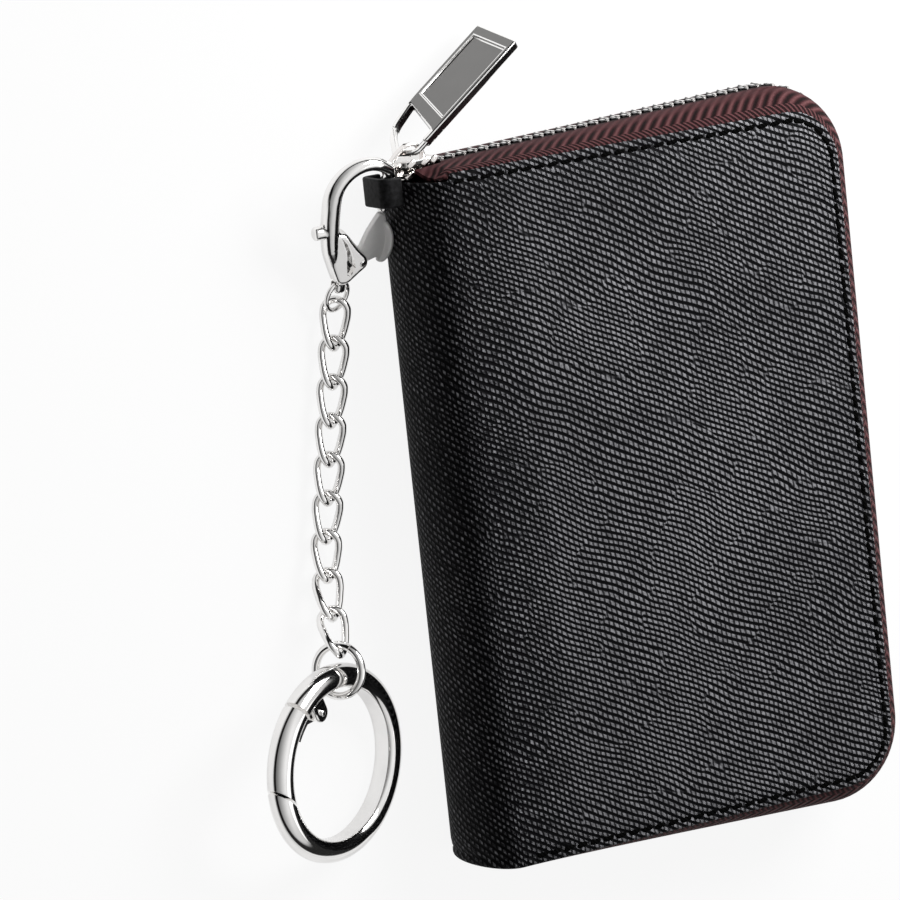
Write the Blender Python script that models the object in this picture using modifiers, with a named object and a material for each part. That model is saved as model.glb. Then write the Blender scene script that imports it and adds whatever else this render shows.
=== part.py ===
"""Zip card wallet with a clasp, a chain and a sprung key ring.

The wallet lies closed on its back cover. The origin is the middle of the back
cover's outer face. +X runs from the spine to the mouth, +Y to the end where the
zip slider parks, and +Z from the back cover to the front cover.
"""
import math

import bmesh
import bpy
from mathutils import Matrix, Vector

# Leather case, sizes in metres
COVER_WIDTH = 0.070
COVER_HEIGHT = 0.110
CLOSED_THICKNESS = 0.020
CORNER_RADIUS = 0.009
SPINE_DEPTH = 0.005
LEATHER = 0.001
LEATHER_ROUNDING = 0.0004
BOARD = 0.0007
LINING = 0.0005
LINING_MARGIN = 0.0012
LAYER_GAP = 0.0003

# Card leaves and their end gussets
LEAF_COUNT = 12
LEAF = 0.00025
LEAF_PITCH = 0.0005
LEAF_WIDTH = COVER_WIDTH - 0.0075
LEAF_HEIGHT = COVER_HEIGHT - 0.017
LEAF_CORNER = 0.003
LEAF_SPINE_GAP = 0.0015
GUSSET_DEPTH = 0.0034
GUSSET_FOLD = 0.0016
GUSSET_SHORTER = 0.0015

# Zip
BULGE_AT_SPINE = 0.0004
BULGE_AT_MOUTH = 0.0040
TAPE = 0.0006
TAPE_SEAM = 0.005
TAPE_ROUNDNESS = 3.5
TOOTH_PITCH = 0.002
TOOTH_THICKNESS = 0.0010
TOOTH_LENGTH = 0.0010
BEAD_WIDTH = 0.0008
ROW_GAP = 0.0006
STOP_LENGTH = 0.002

# Slider and pull tab
SLIDER_LENGTH = 0.0068
SLIDER_OVERHANG = 0.0001
SLIDER_WALL = 0.0006
SLIDER_SIDE_WALL = 0.0006
DIVIDER_LENGTH = 0.0018
DIVIDER_WIDTH = 0.0005
RUNNING_CLEARANCE = 0.00025
BRIDGE_SPAN = 0.0058
BRIDGE_HEIGHT = 0.0018
BRIDGE_OFFSET = -0.0005
BRIDGE_WIRE = 0.0006
BRIDGE_WIDTH = 0.0010
TAB_LENGTH = 0.0253
TAB_LEFT = 0.0065
TAB_RIGHT = 0.0020
TAB_THICKNESS = 0.0016
TAB_BAR = 0.0008
TAB_WINDOW_LEFT = 0.0083
TAB_WINDOW_RIGHT = 0.0052
TAB_FRAME = 0.0009
TAB_LEG_START = 0.0030
TAB_RIM = 0.0008
TAB_RECESS = 0.00025
TAB_SWING = math.radians(35.0)
TAB_DROOP = math.radians(2.7)
TAB_ROLL = math.radians(67.6)

# Hang loop and clasp
LOOP_REACH = 0.0032
LOOP_HEIGHT = 0.0076
LOOP_BAND = 0.0009
LOOP_WIDTH = 0.0046
LOOP_Y = 0.0526
CLASP_PIVOT_X = 0.0015
HOOK_RADIUS = 0.0055
HOOK_WIRE = 0.0015
CLASP_PLATE = 0.0026
KNOB_RADIUS = 0.0011
KNOB_LENGTH = 0.0026
TRIGGER = 0.0010
TRIGGER_CLEARANCE = 0.0003
PIN_RADIUS = 0.0005
EYE_RADIUS = 0.00095

# Chain and rings
JUMP_RING_RADIUS = 0.0024
JUMP_RING_WIRE = 0.0004
JUMP_RING_TURN = math.radians(20.0)
LINK_HALF_LENGTH = 0.0038
LINK_HALF_WIDTH = 0.0019
LINK_WIRE = 0.0006
LINK_TWIST = math.radians(45.0)
LINK_GAP = 0.00035
CHAIN_HEADING = math.radians(9.6)
CHAIN_HEIGHT = 0.00195
CHAIN_CLIMB = (0.0, 0.0, 0.0, 0.0, 0.0, 0.0, 0.15, 0.34, 0.51)
END_RING_RADIUS = 0.0040
END_RING_WIRE = 0.00065
END_RING_TILT = math.radians(55.0)
KEY_RING_RADIUS = 0.0136
KEY_RING_TUBE = 0.0021
KEY_RING_TILT = math.radians(24.0)
GATE_START = math.radians(49.0)
GATE_END = math.radians(109.0)
GATE_SLIT = 0.0003
GATE_NOSE_GAP = 0.0004
NOSE_SPARE = 0.2
GATE_PIVOT_ANGLE = math.radians(34.0)
GATE_PIVOT_INSET = 0.0033
GATE_TONGUE = 0.0011
LUG_RADIUS = 0.0015
LUG_WALL = 0.0008

# Places worked out from the sizes
MIDDLE = CLOSED_THICKNESS / 2
MOUTH_X = COVER_WIDTH / 2
TURN_X = -COVER_WIDTH / 2
SPINE_X = TURN_X - SPINE_DEPTH
HALF_HEIGHT = COVER_HEIGHT / 2
BOARD_MARGIN = TAPE_SEAM + LAYER_GAP + TAPE / 2
FRONT = 1
BACK = -1

# Colour, metallic and roughness of each finish
FINISHES = {
    "black_leather": ((0.022, 0.022, 0.025), 0.0, 0.55),
    "brown_lining": ((0.115, 0.055, 0.034), 0.0, 0.60),
    "stiffener_board": ((0.34, 0.31, 0.27), 0.0, 0.90),
    "zip_tape": ((0.13, 0.040, 0.038), 0.0, 0.85),
    "zip_metal": ((0.72, 0.70, 0.68), 1.0, 0.30),
    "polished_metal": ((0.80, 0.79, 0.78), 1.0, 0.14),
    "brushed_metal": ((0.42, 0.42, 0.42), 1.0, 0.38),
}


def new_collection(name):
    """Make a collection in the scene."""
    collection = bpy.data.collections.new(name)
    bpy.context.scene.collection.children.link(collection)
    return collection


def new_materials():
    """Make one material for each finish."""
    made = {}
    for name, (colour, metallic, roughness) in FINISHES.items():
        material = bpy.data.materials.new(name)
        material.use_nodes = True
        shader = material.node_tree.nodes["Principled BSDF"]
        shader.inputs["Base Color"].default_value = (*colour, 1.0)
        shader.inputs["Metallic"].default_value = metallic
        shader.inputs["Roughness"].default_value = roughness
        made[name] = material
    return made


for old in list(bpy.data.objects):
    bpy.data.objects.remove(old, do_unlink=True)
PARTS = new_collection("zip_card_wallet")
CUTTERS = new_collection("cutters")
MATERIALS = new_materials()


def add_part(name, mesh, finish, matrix=None):
    """Put a mesh in the parts collection under its piece's name."""
    part = bpy.data.objects.new(name, mesh)
    mesh.materials.clear()
    mesh.materials.append(MATERIALS[finish])
    if matrix is not None:
        part.matrix_world = matrix
    PARTS.objects.link(part)
    return part


def add_cutter(name, mesh, matrix=None):
    """Put a mesh in the cutters collection, hidden from renders."""
    cutter = bpy.data.objects.new(name, mesh)
    if matrix is not None:
        cutter.matrix_world = matrix
    cutter.hide_render = True
    cutter.display_type = "WIRE"
    CUTTERS.objects.link(cutter)
    return cutter


def combine(part, tool, operation):
    """Join or cut a part with a tool object."""
    boolean = part.modifiers.new(tool.name, "BOOLEAN")
    boolean.operation = operation
    boolean.object = tool
    boolean.solver = "EXACT"


def add_pivot(name, position, parent=None):
    """Make an empty on a joint's axis, under its parent's empty."""
    pivot = bpy.data.objects.new(name, None)
    pivot.empty_display_size = 0.003
    pivot["place"] = position
    pivot.location = position
    PARTS.objects.link(pivot)
    if parent is not None:
        pivot.parent = parent
        pivot.matrix_parent_inverse = Matrix.Translation(-Vector(parent["place"]))
    return pivot


def hang_on(pivot, parts):
    """Parent parts to a joint's empty where they stand."""
    for part in parts:
        part.parent = pivot
        part.matrix_parent_inverse = Matrix.Translation(-Vector(pivot["place"]))


def mesh_from(name, bm):
    """Turn a bmesh into a mesh with its faces pointing out."""
    bmesh.ops.recalc_face_normals(bm, faces=bm.faces)
    mesh = bpy.data.meshes.new(name)
    bm.to_mesh(mesh)
    bm.free()
    return mesh


def box_mesh(name, low, high):
    """Make a box between two corners."""
    low = Vector(low)
    high = Vector(high)
    size = high - low
    bm = bmesh.new()
    matrix = Matrix.Translation((low + high) / 2) @ Matrix.Diagonal((*size, 1.0))
    bmesh.ops.create_cube(bm, size=1.0, matrix=matrix)
    return mesh_from(name, bm)


def cylinder_mesh(name, radius, length, sides=12):
    """Make a cylinder along Z about the origin."""
    bm = bmesh.new()
    bmesh.ops.create_cone(bm, cap_ends=True, segments=sides, radius1=radius,
                          radius2=radius, depth=length)
    mesh = mesh_from(name, bm)
    mesh.shade_smooth()
    mesh.set_sharp_from_angle(angle=math.radians(50))
    return mesh


def evaluated_curve(name, curve):
    """Read a curve as a welded mesh, then remove the curve."""
    holder = bpy.data.objects.new(name, curve)
    bpy.context.scene.collection.objects.link(holder)
    depsgraph = bpy.context.evaluated_depsgraph_get()
    mesh = bpy.data.meshes.new_from_object(holder.evaluated_get(depsgraph))
    bpy.data.objects.remove(holder, do_unlink=True)
    bpy.data.curves.remove(curve)
    bm = bmesh.new()
    bm.from_mesh(mesh)
    bpy.data.meshes.remove(mesh)
    bmesh.ops.remove_doubles(bm, verts=bm.verts, dist=1e-6)
    return mesh_from(name, bm)


def outline_mesh(name, outlines, half_thickness, rounding=0.0):
    """Make a plate from flat outlines, the inner ones being holes."""
    curve = bpy.data.curves.new(name, "CURVE")
    curve.dimensions = "2D"
    curve.fill_mode = "BOTH"
    curve.extrude = half_thickness - rounding
    curve.bevel_depth = rounding
    curve.bevel_resolution = 0
    curve.offset = -rounding
    for outline in outlines:
        spline = curve.splines.new("POLY")
        spline.points.add(len(outline) - 1)
        for point, (x, y) in zip(spline.points, outline):
            point.co = (x, y, 0.0, 1.0)
        spline.use_cyclic_u = True
    return evaluated_curve(name, curve)


def tube_mesh(name, points, radii, closed=False, resolution=2):
    """Make a round bar along points, with its own radius at each."""
    curve = bpy.data.curves.new(name, "CURVE")
    curve.dimensions = "3D"
    curve.bevel_depth = 1.0
    curve.bevel_resolution = resolution
    curve.use_fill_caps = not closed
    spline = curve.splines.new("POLY")
    spline.points.add(len(points) - 1)
    for point, place, radius in zip(spline.points, points, radii):
        point.co = (*place, 1.0)
        point.radius = radius
    spline.use_cyclic_u = closed
    mesh = evaluated_curve(name, curve)
    mesh.shade_smooth()
    mesh.set_sharp_from_angle(angle=math.radians(60))
    return mesh


def arc(centre, radius, start, end, steps):
    """List points along an arc in a plane."""
    points = []
    for step in range(steps + 1):
        angle = start + (end - start) * step / steps
        points.append((centre[0] + radius * math.cos(angle), centre[1] + radius * math.sin(angle)))
    return points


def axes_matrix(origin, x_axis, y_axis):
    """Make a frame from an origin and two square axes."""
    x_axis = Vector(x_axis).normalized()
    y_axis = Vector(y_axis).normalized()
    z_axis = x_axis.cross(y_axis)
    turn = Matrix((x_axis, y_axis, z_axis)).transposed().to_4x4()
    return Matrix.Translation(origin) @ turn


def layer(side, outer, thickness):
    """Give the low and high z of a layer that lies a depth under one cover's face."""
    near = MIDDLE + side * (MIDDLE - outer)
    far = near - side * thickness
    return min(near, far), max(near, far)


def plate(name, finish, x_range, half_height, radius, z_range, rounding=0.0):
    """Make a flat sheet with its two mouth corners rounded."""
    bm = bmesh.new()
    size = (x_range[1] - x_range[0], 2 * half_height, z_range[1] - z_range[0])
    centre = ((x_range[0] + x_range[1]) / 2, 0.0, (z_range[0] + z_range[1]) / 2)
    matrix = Matrix.Translation(centre) @ Matrix.Diagonal((*size, 1.0))
    bmesh.ops.create_cube(bm, size=1.0, matrix=matrix)
    corners = []
    for edge in bm.edges:
        first, second = edge.verts
        upright = abs(first.co.z - second.co.z) > size[2] / 2
        if upright and first.co.x > centre[0]:
            corners.append(edge)
    bmesh.ops.bevel(bm, geom=corners, offset=radius, segments=6, profile=0.5, affect="EDGES")
    part = add_part(name, mesh_from(name, bm), finish)
    if rounding > 0.0:
        rim = part.modifiers.new("rim", "BEVEL")
        rim.width = rounding
        rim.segments = 2
        rim.limit_method = "ANGLE"
        rim.angle_limit = math.radians(50)
    return part


def make_cover(side, name):
    """Outer leather of one half, a flat sheet from the spine turn to the mouth."""
    x_range = (TURN_X, MOUTH_X)
    return plate(name, "black_leather", x_range, HALF_HEIGHT, CORNER_RADIUS,
                 layer(side, 0.0, LEATHER), LEATHER_ROUNDING)


def make_board(side, name):
    """Stiffener board between the leather and the lining, clear of the zip seam."""
    x_range = (TURN_X + LAYER_GAP, MOUTH_X - BOARD_MARGIN)
    return plate(name, "stiffener_board", x_range, HALF_HEIGHT - BOARD_MARGIN,
                 CORNER_RADIUS - BOARD_MARGIN, layer(side, LEATHER + LAYER_GAP, BOARD))


def make_lining(side, name):
    """Brown lining over the board and the zip's sewn edge."""
    x_range = (TURN_X + LAYER_GAP, MOUTH_X - LINING_MARGIN)
    outer = LEATHER + BOARD + 2 * LAYER_GAP
    return plate(name, "brown_lining", x_range, HALF_HEIGHT - LINING_MARGIN,
                 CORNER_RADIUS - LINING_MARGIN, layer(side, outer, LINING))


def make_spine():
    """Leather turned round the back of the card leaves, half an ellipse in section."""
    steps = 14
    half_length = HALF_HEIGHT - LINING_MARGIN
    bm = bmesh.new()
    row = []
    for step in range(steps + 1):
        angle = math.pi * (step / steps - 0.5)
        x = TURN_X - LAYER_GAP - (SPINE_DEPTH - LAYER_GAP) * math.cos(angle)
        z = MIDDLE + MIDDLE * math.sin(angle)
        row.append(bm.verts.new((x, -half_length, z)))
    edges = [bm.edges.new(pair) for pair in zip(row, row[1:])]
    grown = bmesh.ops.extrude_edge_only(bm, edges=edges)["geom"]
    moved = [item for item in grown if isinstance(item, bmesh.types.BMVert)]
    bmesh.ops.translate(bm, verts=moved, vec=(0.0, 2 * half_length, 0.0))
    mesh = bpy.data.meshes.new("spine_leather")
    bm.normal_update()
    for face in bm.faces:
        away = face.calc_center_median() - Vector((TURN_X, 0.0, MIDDLE))
        if face.normal.dot(away) < 0:
            face.normal_flip()
    bm.to_mesh(mesh)
    bm.free()
    mesh.shade_smooth()
    spine = add_part("spine_leather", mesh, "black_leather")
    wall = spine.modifiers.new("wall", "SOLIDIFY")
    wall.thickness = LEATHER
    wall.offset = -1.0
    return spine


def make_leaves():
    """Card leaves, each a folded sheet of lining, stacked between the linings."""
    leaves = []
    x_low = TURN_X + LEAF_SPINE_GAP
    for index in range(LEAF_COUNT):
        middle = MIDDLE + (index - (LEAF_COUNT - 1) / 2) * LEAF_PITCH
        z_range = (middle - LEAF / 2, middle + LEAF / 2)
        leaves.append(plate(f"card_leaf_{index + 1:02d}", "brown_lining",
                            (x_low, x_low + LEAF_WIDTH), LEAF_HEIGHT / 2, LEAF_CORNER, z_range))
    return leaves


def make_gusset(end, name):
    """Pleated gusset that closes one end of the card leaves."""
    inner = LEAF_HEIGHT / 2 + LAYER_GAP
    low, high = inside_range()
    fold = (high - low) / LEAF_COUNT
    outline = [(inner, low), (inner + GUSSET_DEPTH - GUSSET_FOLD, low)]
    for index in range(LEAF_COUNT):
        outline.append((inner + GUSSET_DEPTH, low + fold * (index + 0.5)))
        outline.append((inner + GUSSET_DEPTH - GUSSET_FOLD, low + fold * (index + 1)))
    outline.append((inner, high))
    length = LEAF_WIDTH - 2 * GUSSET_SHORTER
    mesh = outline_mesh(name, [outline], length / 2)
    centre = (TURN_X + LEAF_SPINE_GAP + LEAF_WIDTH / 2, 0.0, 0.0)
    return add_part(name, mesh, "brown_lining",
                    axes_matrix(centre, (0.0, end, 0.0), (0.0, 0.0, 1.0)))


def inside_range():
    """Give the low and high z of the space between the two linings."""
    depth = LEATHER + BOARD + LINING + 3 * LAYER_GAP
    return depth, CLOSED_THICKNESS - depth


STRAIGHT = COVER_WIDTH - CORNER_RADIUS
QUARTER = CORNER_RADIUS * math.pi / 2
SIDE = COVER_HEIGHT - 2 * CORNER_RADIUS
ZIP_RUN = 2 * STRAIGHT + 2 * QUARTER + SIDE
LAST_TOOTH = ZIP_RUN - 3 * LAYER_GAP


def edge_station(run):
    """Give the cover's edge and its outward direction, a run along from the slider end."""
    if run > ZIP_RUN / 2:
        point, outward = edge_station(ZIP_RUN - run)
        return Vector((point.x, -point.y)), Vector((outward.x, -outward.y))
    if run < STRAIGHT:
        return Vector((TURN_X + run, HALF_HEIGHT)), Vector((0.0, 1.0))
    centre = Vector((MOUTH_X - CORNER_RADIUS, HALF_HEIGHT - CORNER_RADIUS))
    if run < STRAIGHT + QUARTER:
        angle = math.pi / 2 - (run - STRAIGHT) / CORNER_RADIUS
        outward = Vector((math.cos(angle), math.sin(angle)))
        return centre + outward * CORNER_RADIUS, outward
    along = run - STRAIGHT - QUARTER
    return Vector((MOUTH_X, centre.y - along)), Vector((1.0, 0.0))


def bulge(run):
    """Give how far the zip stands out past the cover's edge."""
    near = min(run, ZIP_RUN - run)
    share = min(1.0, (near + SPINE_DEPTH) / (STRAIGHT + QUARTER + SPINE_DEPTH))
    return BULGE_AT_SPINE + (BULGE_AT_MOUTH - BULGE_AT_SPINE) * share


def zip_stations(start, end):
    """List the runs at which a tape's section changes."""
    runs = [start]
    if start < 0.0:
        runs += [-LAYER_GAP, 0.0]
    corner_steps = 5
    for corner in (STRAIGHT, STRAIGHT + QUARTER + SIDE):
        for step in range(corner_steps + 1):
            runs.append(corner + QUARTER * step / corner_steps)
    if end > ZIP_RUN:
        runs += [ZIP_RUN, ZIP_RUN + LAYER_GAP]
    runs.append(end)
    return runs


def loft(bm, sections):
    """Skin closed sections one after another and cap both ends."""
    rings = [[bm.verts.new(place) for place in section] for section in sections]
    bands = []
    for first, second in zip(rings, rings[1:]):
        band = []
        for index in range(len(first)):
            after = (index + 1) % len(first)
            band.append(bm.faces.new((first[index], first[after], second[after], second[index])))
        bands.append(band)
    bm.faces.new(rings[0])
    bm.faces.new(rings[-1])
    return bands


def zip_place(run, out, height, side):
    """Place a point by its run along the zip, its reach out and its height off the middle."""
    point, outward = edge_station(run)
    flat = point + outward * out
    return Vector((flat.x, flat.y, MIDDLE + side * height))


def tape_section(run, side):
    """Give the tape's section, from its sewn edge to the teeth."""
    reach = MIDDLE - LEATHER - LAYER_GAP - TAPE / 2
    stand = bulge(run)
    inner_end = ROW_GAP / 2 + TOOTH_LENGTH + BEAD_WIDTH + LAYER_GAP
    seam = TAPE_SEAM if 0.0 <= run <= ZIP_RUN else LINING_MARGIN - LAYER_GAP
    middle = [Vector((-seam, reach)), Vector((0.0, reach))]
    for height in (0.90 * reach, 0.75 * reach, 0.55 * reach, inner_end):
        middle.append(Vector((stand * (1 - (height / reach) ** TAPE_ROUNDNESS), height)))
    above = []
    below = []
    for index, point in enumerate(middle):
        before = middle[max(index - 1, 0)]
        after = middle[min(index + 1, len(middle) - 1)]
        along = (after - before).normalized()
        across = Vector((-along.y, along.x)) * TAPE / 2
        above.append(point + across)
        below.append(point - across)
    ring = above + below[::-1]
    return [zip_place(run, place.x, place.y, side) for place in ring]


def make_tape(side, name, start, end):
    """Woven tape sewn under one cover's edge and bowed out to the teeth."""
    bm = bmesh.new()
    loft(bm, [tape_section(run, side) for run in zip_stations(start, end)])
    mesh = mesh_from(name, bm)
    mesh.shade_smooth()
    mesh.set_sharp_from_angle(angle=math.radians(50))
    return add_part(name, mesh, "zip_tape")


def make_teeth(side, name, start, end):
    """Row of metal teeth on their bead, every other step carrying a tooth."""
    steps = int((end - start) / (TOOTH_PITCH / 2))
    inner = ROW_GAP / 2 + TOOTH_LENGTH
    outer = inner + BEAD_WIDTH
    half = TOOTH_THICKNESS / 2
    sections = []
    for step in range(steps + 1):
        run = start + step * TOOTH_PITCH / 2
        line = bulge(run)
        corners = ((line - half, inner), (line + half, inner), (line + half, outer), (line - half, outer))
        sections.append([zip_place(run, out, height, side) for out, height in corners])
    bm = bmesh.new()
    bands = loft(bm, sections)
    first = 0 if side == FRONT else 1
    crowns = [band[0] for band in bands[first::2]]
    grown = bmesh.ops.extrude_discrete_faces(bm, faces=crowns)["faces"]
    for face in grown:
        middle = face.calc_center_median()
        for vert in face.verts:
            vert.co = middle + (vert.co - middle) * 0.86
            vert.co.z -= side * TOOTH_LENGTH
    return add_part(name, mesh_from(name, bm), "zip_metal")


def zip_direction():
    """Give the direction of the teeth along the straight top edge."""
    rise = (BULGE_AT_MOUTH - BULGE_AT_SPINE) / (STRAIGHT + QUARTER + SPINE_DEPTH)
    return Vector((1.0, rise, 0.0)).normalized()


def slider_frame():
    """Frame of the parked slider: X along the teeth, Y out of the wallet, Z up."""
    x = SPINE_X + SLIDER_OVERHANG + SLIDER_LENGTH / 2
    along = zip_direction()
    out = Vector((-along.y, along.x, 0.0))
    origin = Vector((x, HALF_HEIGHT + bulge(x - TURN_X), MIDDLE))
    return axes_matrix(origin, along, out)


def slider_levels():
    """Give the slider's plate levels, out from the teeth, and its half width."""
    inside = TOOTH_THICKNESS / 2 + RUNNING_CLEARANCE
    outside = inside + SLIDER_WALL
    groove = ROW_GAP / 2 + TOOTH_LENGTH + BEAD_WIDTH + RUNNING_CLEARANCE
    return inside, outside, groove + SLIDER_SIDE_WALL, groove


def make_slider():
    """Cast slider: two plates on a divider, with a bridge over the outer plate."""
    frame = slider_frame()
    inside, outside, half_width, groove = slider_levels()
    lip = TAPE / 2 + RUNNING_CLEARANCE
    section = [(half_width, outside), (half_width, lip), (groove, lip), (groove, inside),
               (-groove, inside), (-groove, lip), (-half_width, lip), (-half_width, outside)]
    half_length = SLIDER_LENGTH / 2
    lengthways = frame @ axes_matrix((0, 0, 0), (0, 0, 1), (0, 1, 0))
    slider = add_part("slider_body", outline_mesh("slider_body", [section], half_length),
                      "zip_metal", lengthways)
    inner = box_mesh("slider_inner_plate", (-half_length, -outside, -groove),
                     (half_length, -inside, groove))
    combine(slider, add_cutter("slider_inner_plate", inner, frame), "UNION")
    divider_x = SLIDER_OVERHANG * 3 - half_length
    divider = box_mesh("slider_divider", (divider_x, -inside - SLIDER_WALL / 2, -DIVIDER_WIDTH / 2),
                       (divider_x + DIVIDER_LENGTH, inside + SLIDER_WALL / 2, DIVIDER_WIDTH / 2))
    combine(slider, add_cutter("slider_divider", divider, frame), "UNION")
    bridge = outline_mesh("slider_bridge", [bridge_outline(outside)], BRIDGE_WIDTH / 2)
    combine(slider, add_cutter("slider_bridge", bridge, frame), "UNION")
    return slider


def bridge_outline(foot):
    """Outline of the arched bridge, standing on the outer plate."""
    outer_radius = BRIDGE_HEIGHT / 2 + BRIDGE_WIRE
    inner_radius = BRIDGE_HEIGHT / 2
    reach = BRIDGE_SPAN / 2 - outer_radius
    top = foot + BRIDGE_HEIGHT + BRIDGE_WIRE
    sunk = foot - SLIDER_WALL / 2
    quarter = math.pi / 2
    outer = arc((reach, top - outer_radius), outer_radius, 0.0, quarter, 4)
    outer += arc((-reach, top - outer_radius), outer_radius, quarter, 2 * quarter, 4)
    inner = arc((-reach, top - outer_radius), inner_radius, 2 * quarter, quarter, 4)
    inner += arc((reach, top - outer_radius), inner_radius, quarter, 0.0, 4)
    outline = ([(BRIDGE_SPAN / 2, sunk)] + outer + [(-BRIDGE_SPAN / 2, sunk)]
               + [(-BRIDGE_SPAN / 2 + BRIDGE_WIRE, sunk)] + inner
               + [(BRIDGE_SPAN / 2 - BRIDGE_WIRE, sunk)])
    return [(x + BRIDGE_OFFSET, y) for x, y in outline]


def tab_pivot():
    """Give the point where the pull tab's bar lies under the bridge."""
    outside = slider_levels()[1]
    return slider_frame() @ Vector((BRIDGE_OFFSET, outside + BRIDGE_HEIGHT / 2, 0.0))


def tab_frame():
    """Frame of the pull tab: X along it from the bridge, Y across, Z its front."""
    swing = Matrix.Rotation(TAB_SWING, 4, "Z")
    droop = Matrix.Rotation(TAB_DROOP, 4, "Y")
    roll = Matrix.Rotation(-TAB_ROLL, 4, "X")
    return Matrix.Translation(tab_pivot()) @ swing @ droop @ roll


def bar_slant():
    """Give how far the tab's bar leans back for each step across, to lie level on the slider."""
    along, across, front = tab_frame().to_3x3().col
    out = slider_frame().to_3x3().col[1]
    return across.dot(out) / along.dot(out)


def tab_shape():
    """List the pull tab's outer outline and its window, from the right end of its bar."""
    slant = bar_slant()
    half_bar = TAB_BAR / 2 * math.hypot(slant, 1.0)
    leg = TAB_RIGHT - TAB_FRAME
    foot_left = TAB_RIGHT - 0.2 * TAB_FRAME
    shoulder = 0.88 * TAB_LEFT
    knee = 0.70 * TAB_LEFT
    outline = [(slant * (TAB_RIGHT - TAB_BAR / 2) - half_bar, TAB_BAR / 2 - TAB_RIGHT),
               (slant * TAB_RIGHT, -TAB_RIGHT), (TAB_LENGTH, -TAB_RIGHT), (TAB_LENGTH, TAB_LEFT),
               (TAB_WINDOW_LEFT, TAB_LEFT), (TAB_LEG_START, shoulder), (TAB_LEG_START / 3, knee),
               (-slant * foot_left - half_bar / 2, foot_left),
               (-slant * 0.7 * foot_left - half_bar, 0.7 * foot_left)]
    window = [(slant * leg + half_bar, -leg), (TAB_WINDOW_RIGHT, -leg),
              (TAB_WINDOW_LEFT - half_bar, TAB_LEFT - TAB_FRAME),
              (TAB_LEG_START + half_bar, shoulder - TAB_FRAME),
              (TAB_LEG_START * 0.63, knee - 0.8 * TAB_FRAME), (half_bar - slant * leg, leg)]
    return outline, window


def make_pull_tab():
    """Flat pull tab: a sunk plaque on two legs, the eye thinner where it lies under the bridge."""
    outline, window = tab_shape()
    frame = tab_frame()
    tab = add_part("pull_tab", outline_mesh("pull_tab", [outline, window], TAB_THICKNESS / 2),
                   "brushed_metal", frame)
    reach = 2 * TAB_LEFT
    for side in (FRONT, BACK):
        corners = [(-reach, -reach, side * TAB_BAR / 2), (TAB_LEG_START, reach, side * TAB_THICKNESS)]
        low = [min(pair) for pair in zip(*corners)]
        high = [max(pair) for pair in zip(*corners)]
        combine(tab, add_cutter(f"tab_eye_{side}", box_mesh(f"tab_eye_{side}", low, high), frame), "DIFFERENCE")
    strip = 2.5 * TAB_RIM
    panel = [(TAB_LENGTH - strip, TAB_LEFT - TAB_RIM), (TAB_WINDOW_LEFT + strip, TAB_LEFT - TAB_RIM),
             (TAB_WINDOW_RIGHT + 1.4 * strip, TAB_RIM - TAB_RIGHT), (TAB_LENGTH - strip, TAB_RIM - TAB_RIGHT)]
    raised = frame @ Matrix.Translation((0.0, 0.0, 1.5 * TAB_THICKNESS - TAB_RECESS))
    recess = add_cutter("tab_recess", outline_mesh("tab_recess", [panel], TAB_THICKNESS), raised)
    combine(tab, recess, "DIFFERENCE")
    return tab


def make_stop():
    """Small clamp that ends the back row of teeth at the foot of the spine."""
    run = LAST_TOOTH + LAYER_GAP
    line = bulge(run)
    half = TOOTH_THICKNESS / 2
    outer = ROW_GAP / 2 + TOOTH_LENGTH + BEAD_WIDTH
    low = zip_place(run + STOP_LENGTH, line + half, outer, BACK)
    high = zip_place(run, line - half, ROW_GAP / 2, BACK)
    return add_part("zip_bottom_stop", box_mesh("zip_bottom_stop", low, high), "zip_metal")


def make_hang_loop():
    """Leather loop that stands off the spine's top end, for the clasp."""
    inner = LOOP_HEIGHT / 2 - LOOP_BAND / 2
    reach = LOOP_REACH - LOOP_BAND / 2
    bend = 0.0012
    foot = LAYER_GAP
    path = [(foot, inner)] + arc((-reach + bend, inner - bend), bend, math.pi / 2, math.pi, 3)
    path += arc((-reach + bend, -inner + bend), bend, math.pi, 1.5 * math.pi, 3)
    path.append((foot, -inner))
    bm = bmesh.new()
    row = [bm.verts.new((SPINE_X - 2 * LAYER_GAP + x, LOOP_Y - LOOP_WIDTH / 2, MIDDLE + z)) for x, z in path]
    edges = [bm.edges.new(pair) for pair in zip(row, row[1:])]
    grown = bmesh.ops.extrude_edge_only(bm, edges=edges)["geom"]
    moved = [item for item in grown if isinstance(item, bmesh.types.BMVert)]
    bmesh.ops.translate(bm, verts=moved, vec=(0.0, LOOP_WIDTH, 0.0))
    mesh = mesh_from("hang_loop", bm)
    mesh.shade_smooth()
    loop = add_part("hang_loop", mesh, "black_leather")
    band = loop.modifiers.new("band", "SOLIDIFY")
    band.thickness = LOOP_BAND
    band.offset = 0.0
    return loop


CLASP_EYE = Vector((-0.0066, -0.0143, 0.0))
TRIGGER_PIVOT = Vector((-0.0038, -0.0104, 0.0))
HOOK_CENTRE = (-0.0039, 0.0008)
HOOK_TIP_Y = -0.0025
KNOB_PLACE = Vector((-0.0108, -0.0046, 0.0))


def clasp_frame():
    """Frame of the clasp: X across it, Y up its length, its foot at the chain's height."""
    origin = Vector((SPINE_X - CLASP_PIVOT_X, LOOP_Y - CLASP_PIVOT_X / 2, MIDDLE))
    length = 2 * JUMP_RING_RADIUS - CLASP_EYE.y
    tilt = math.asin((MIDDLE - CHAIN_HEIGHT) / length)
    return axes_matrix(origin, (1.0, 0.0, 0.0), (0.0, math.cos(tilt), math.sin(tilt)))


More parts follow.
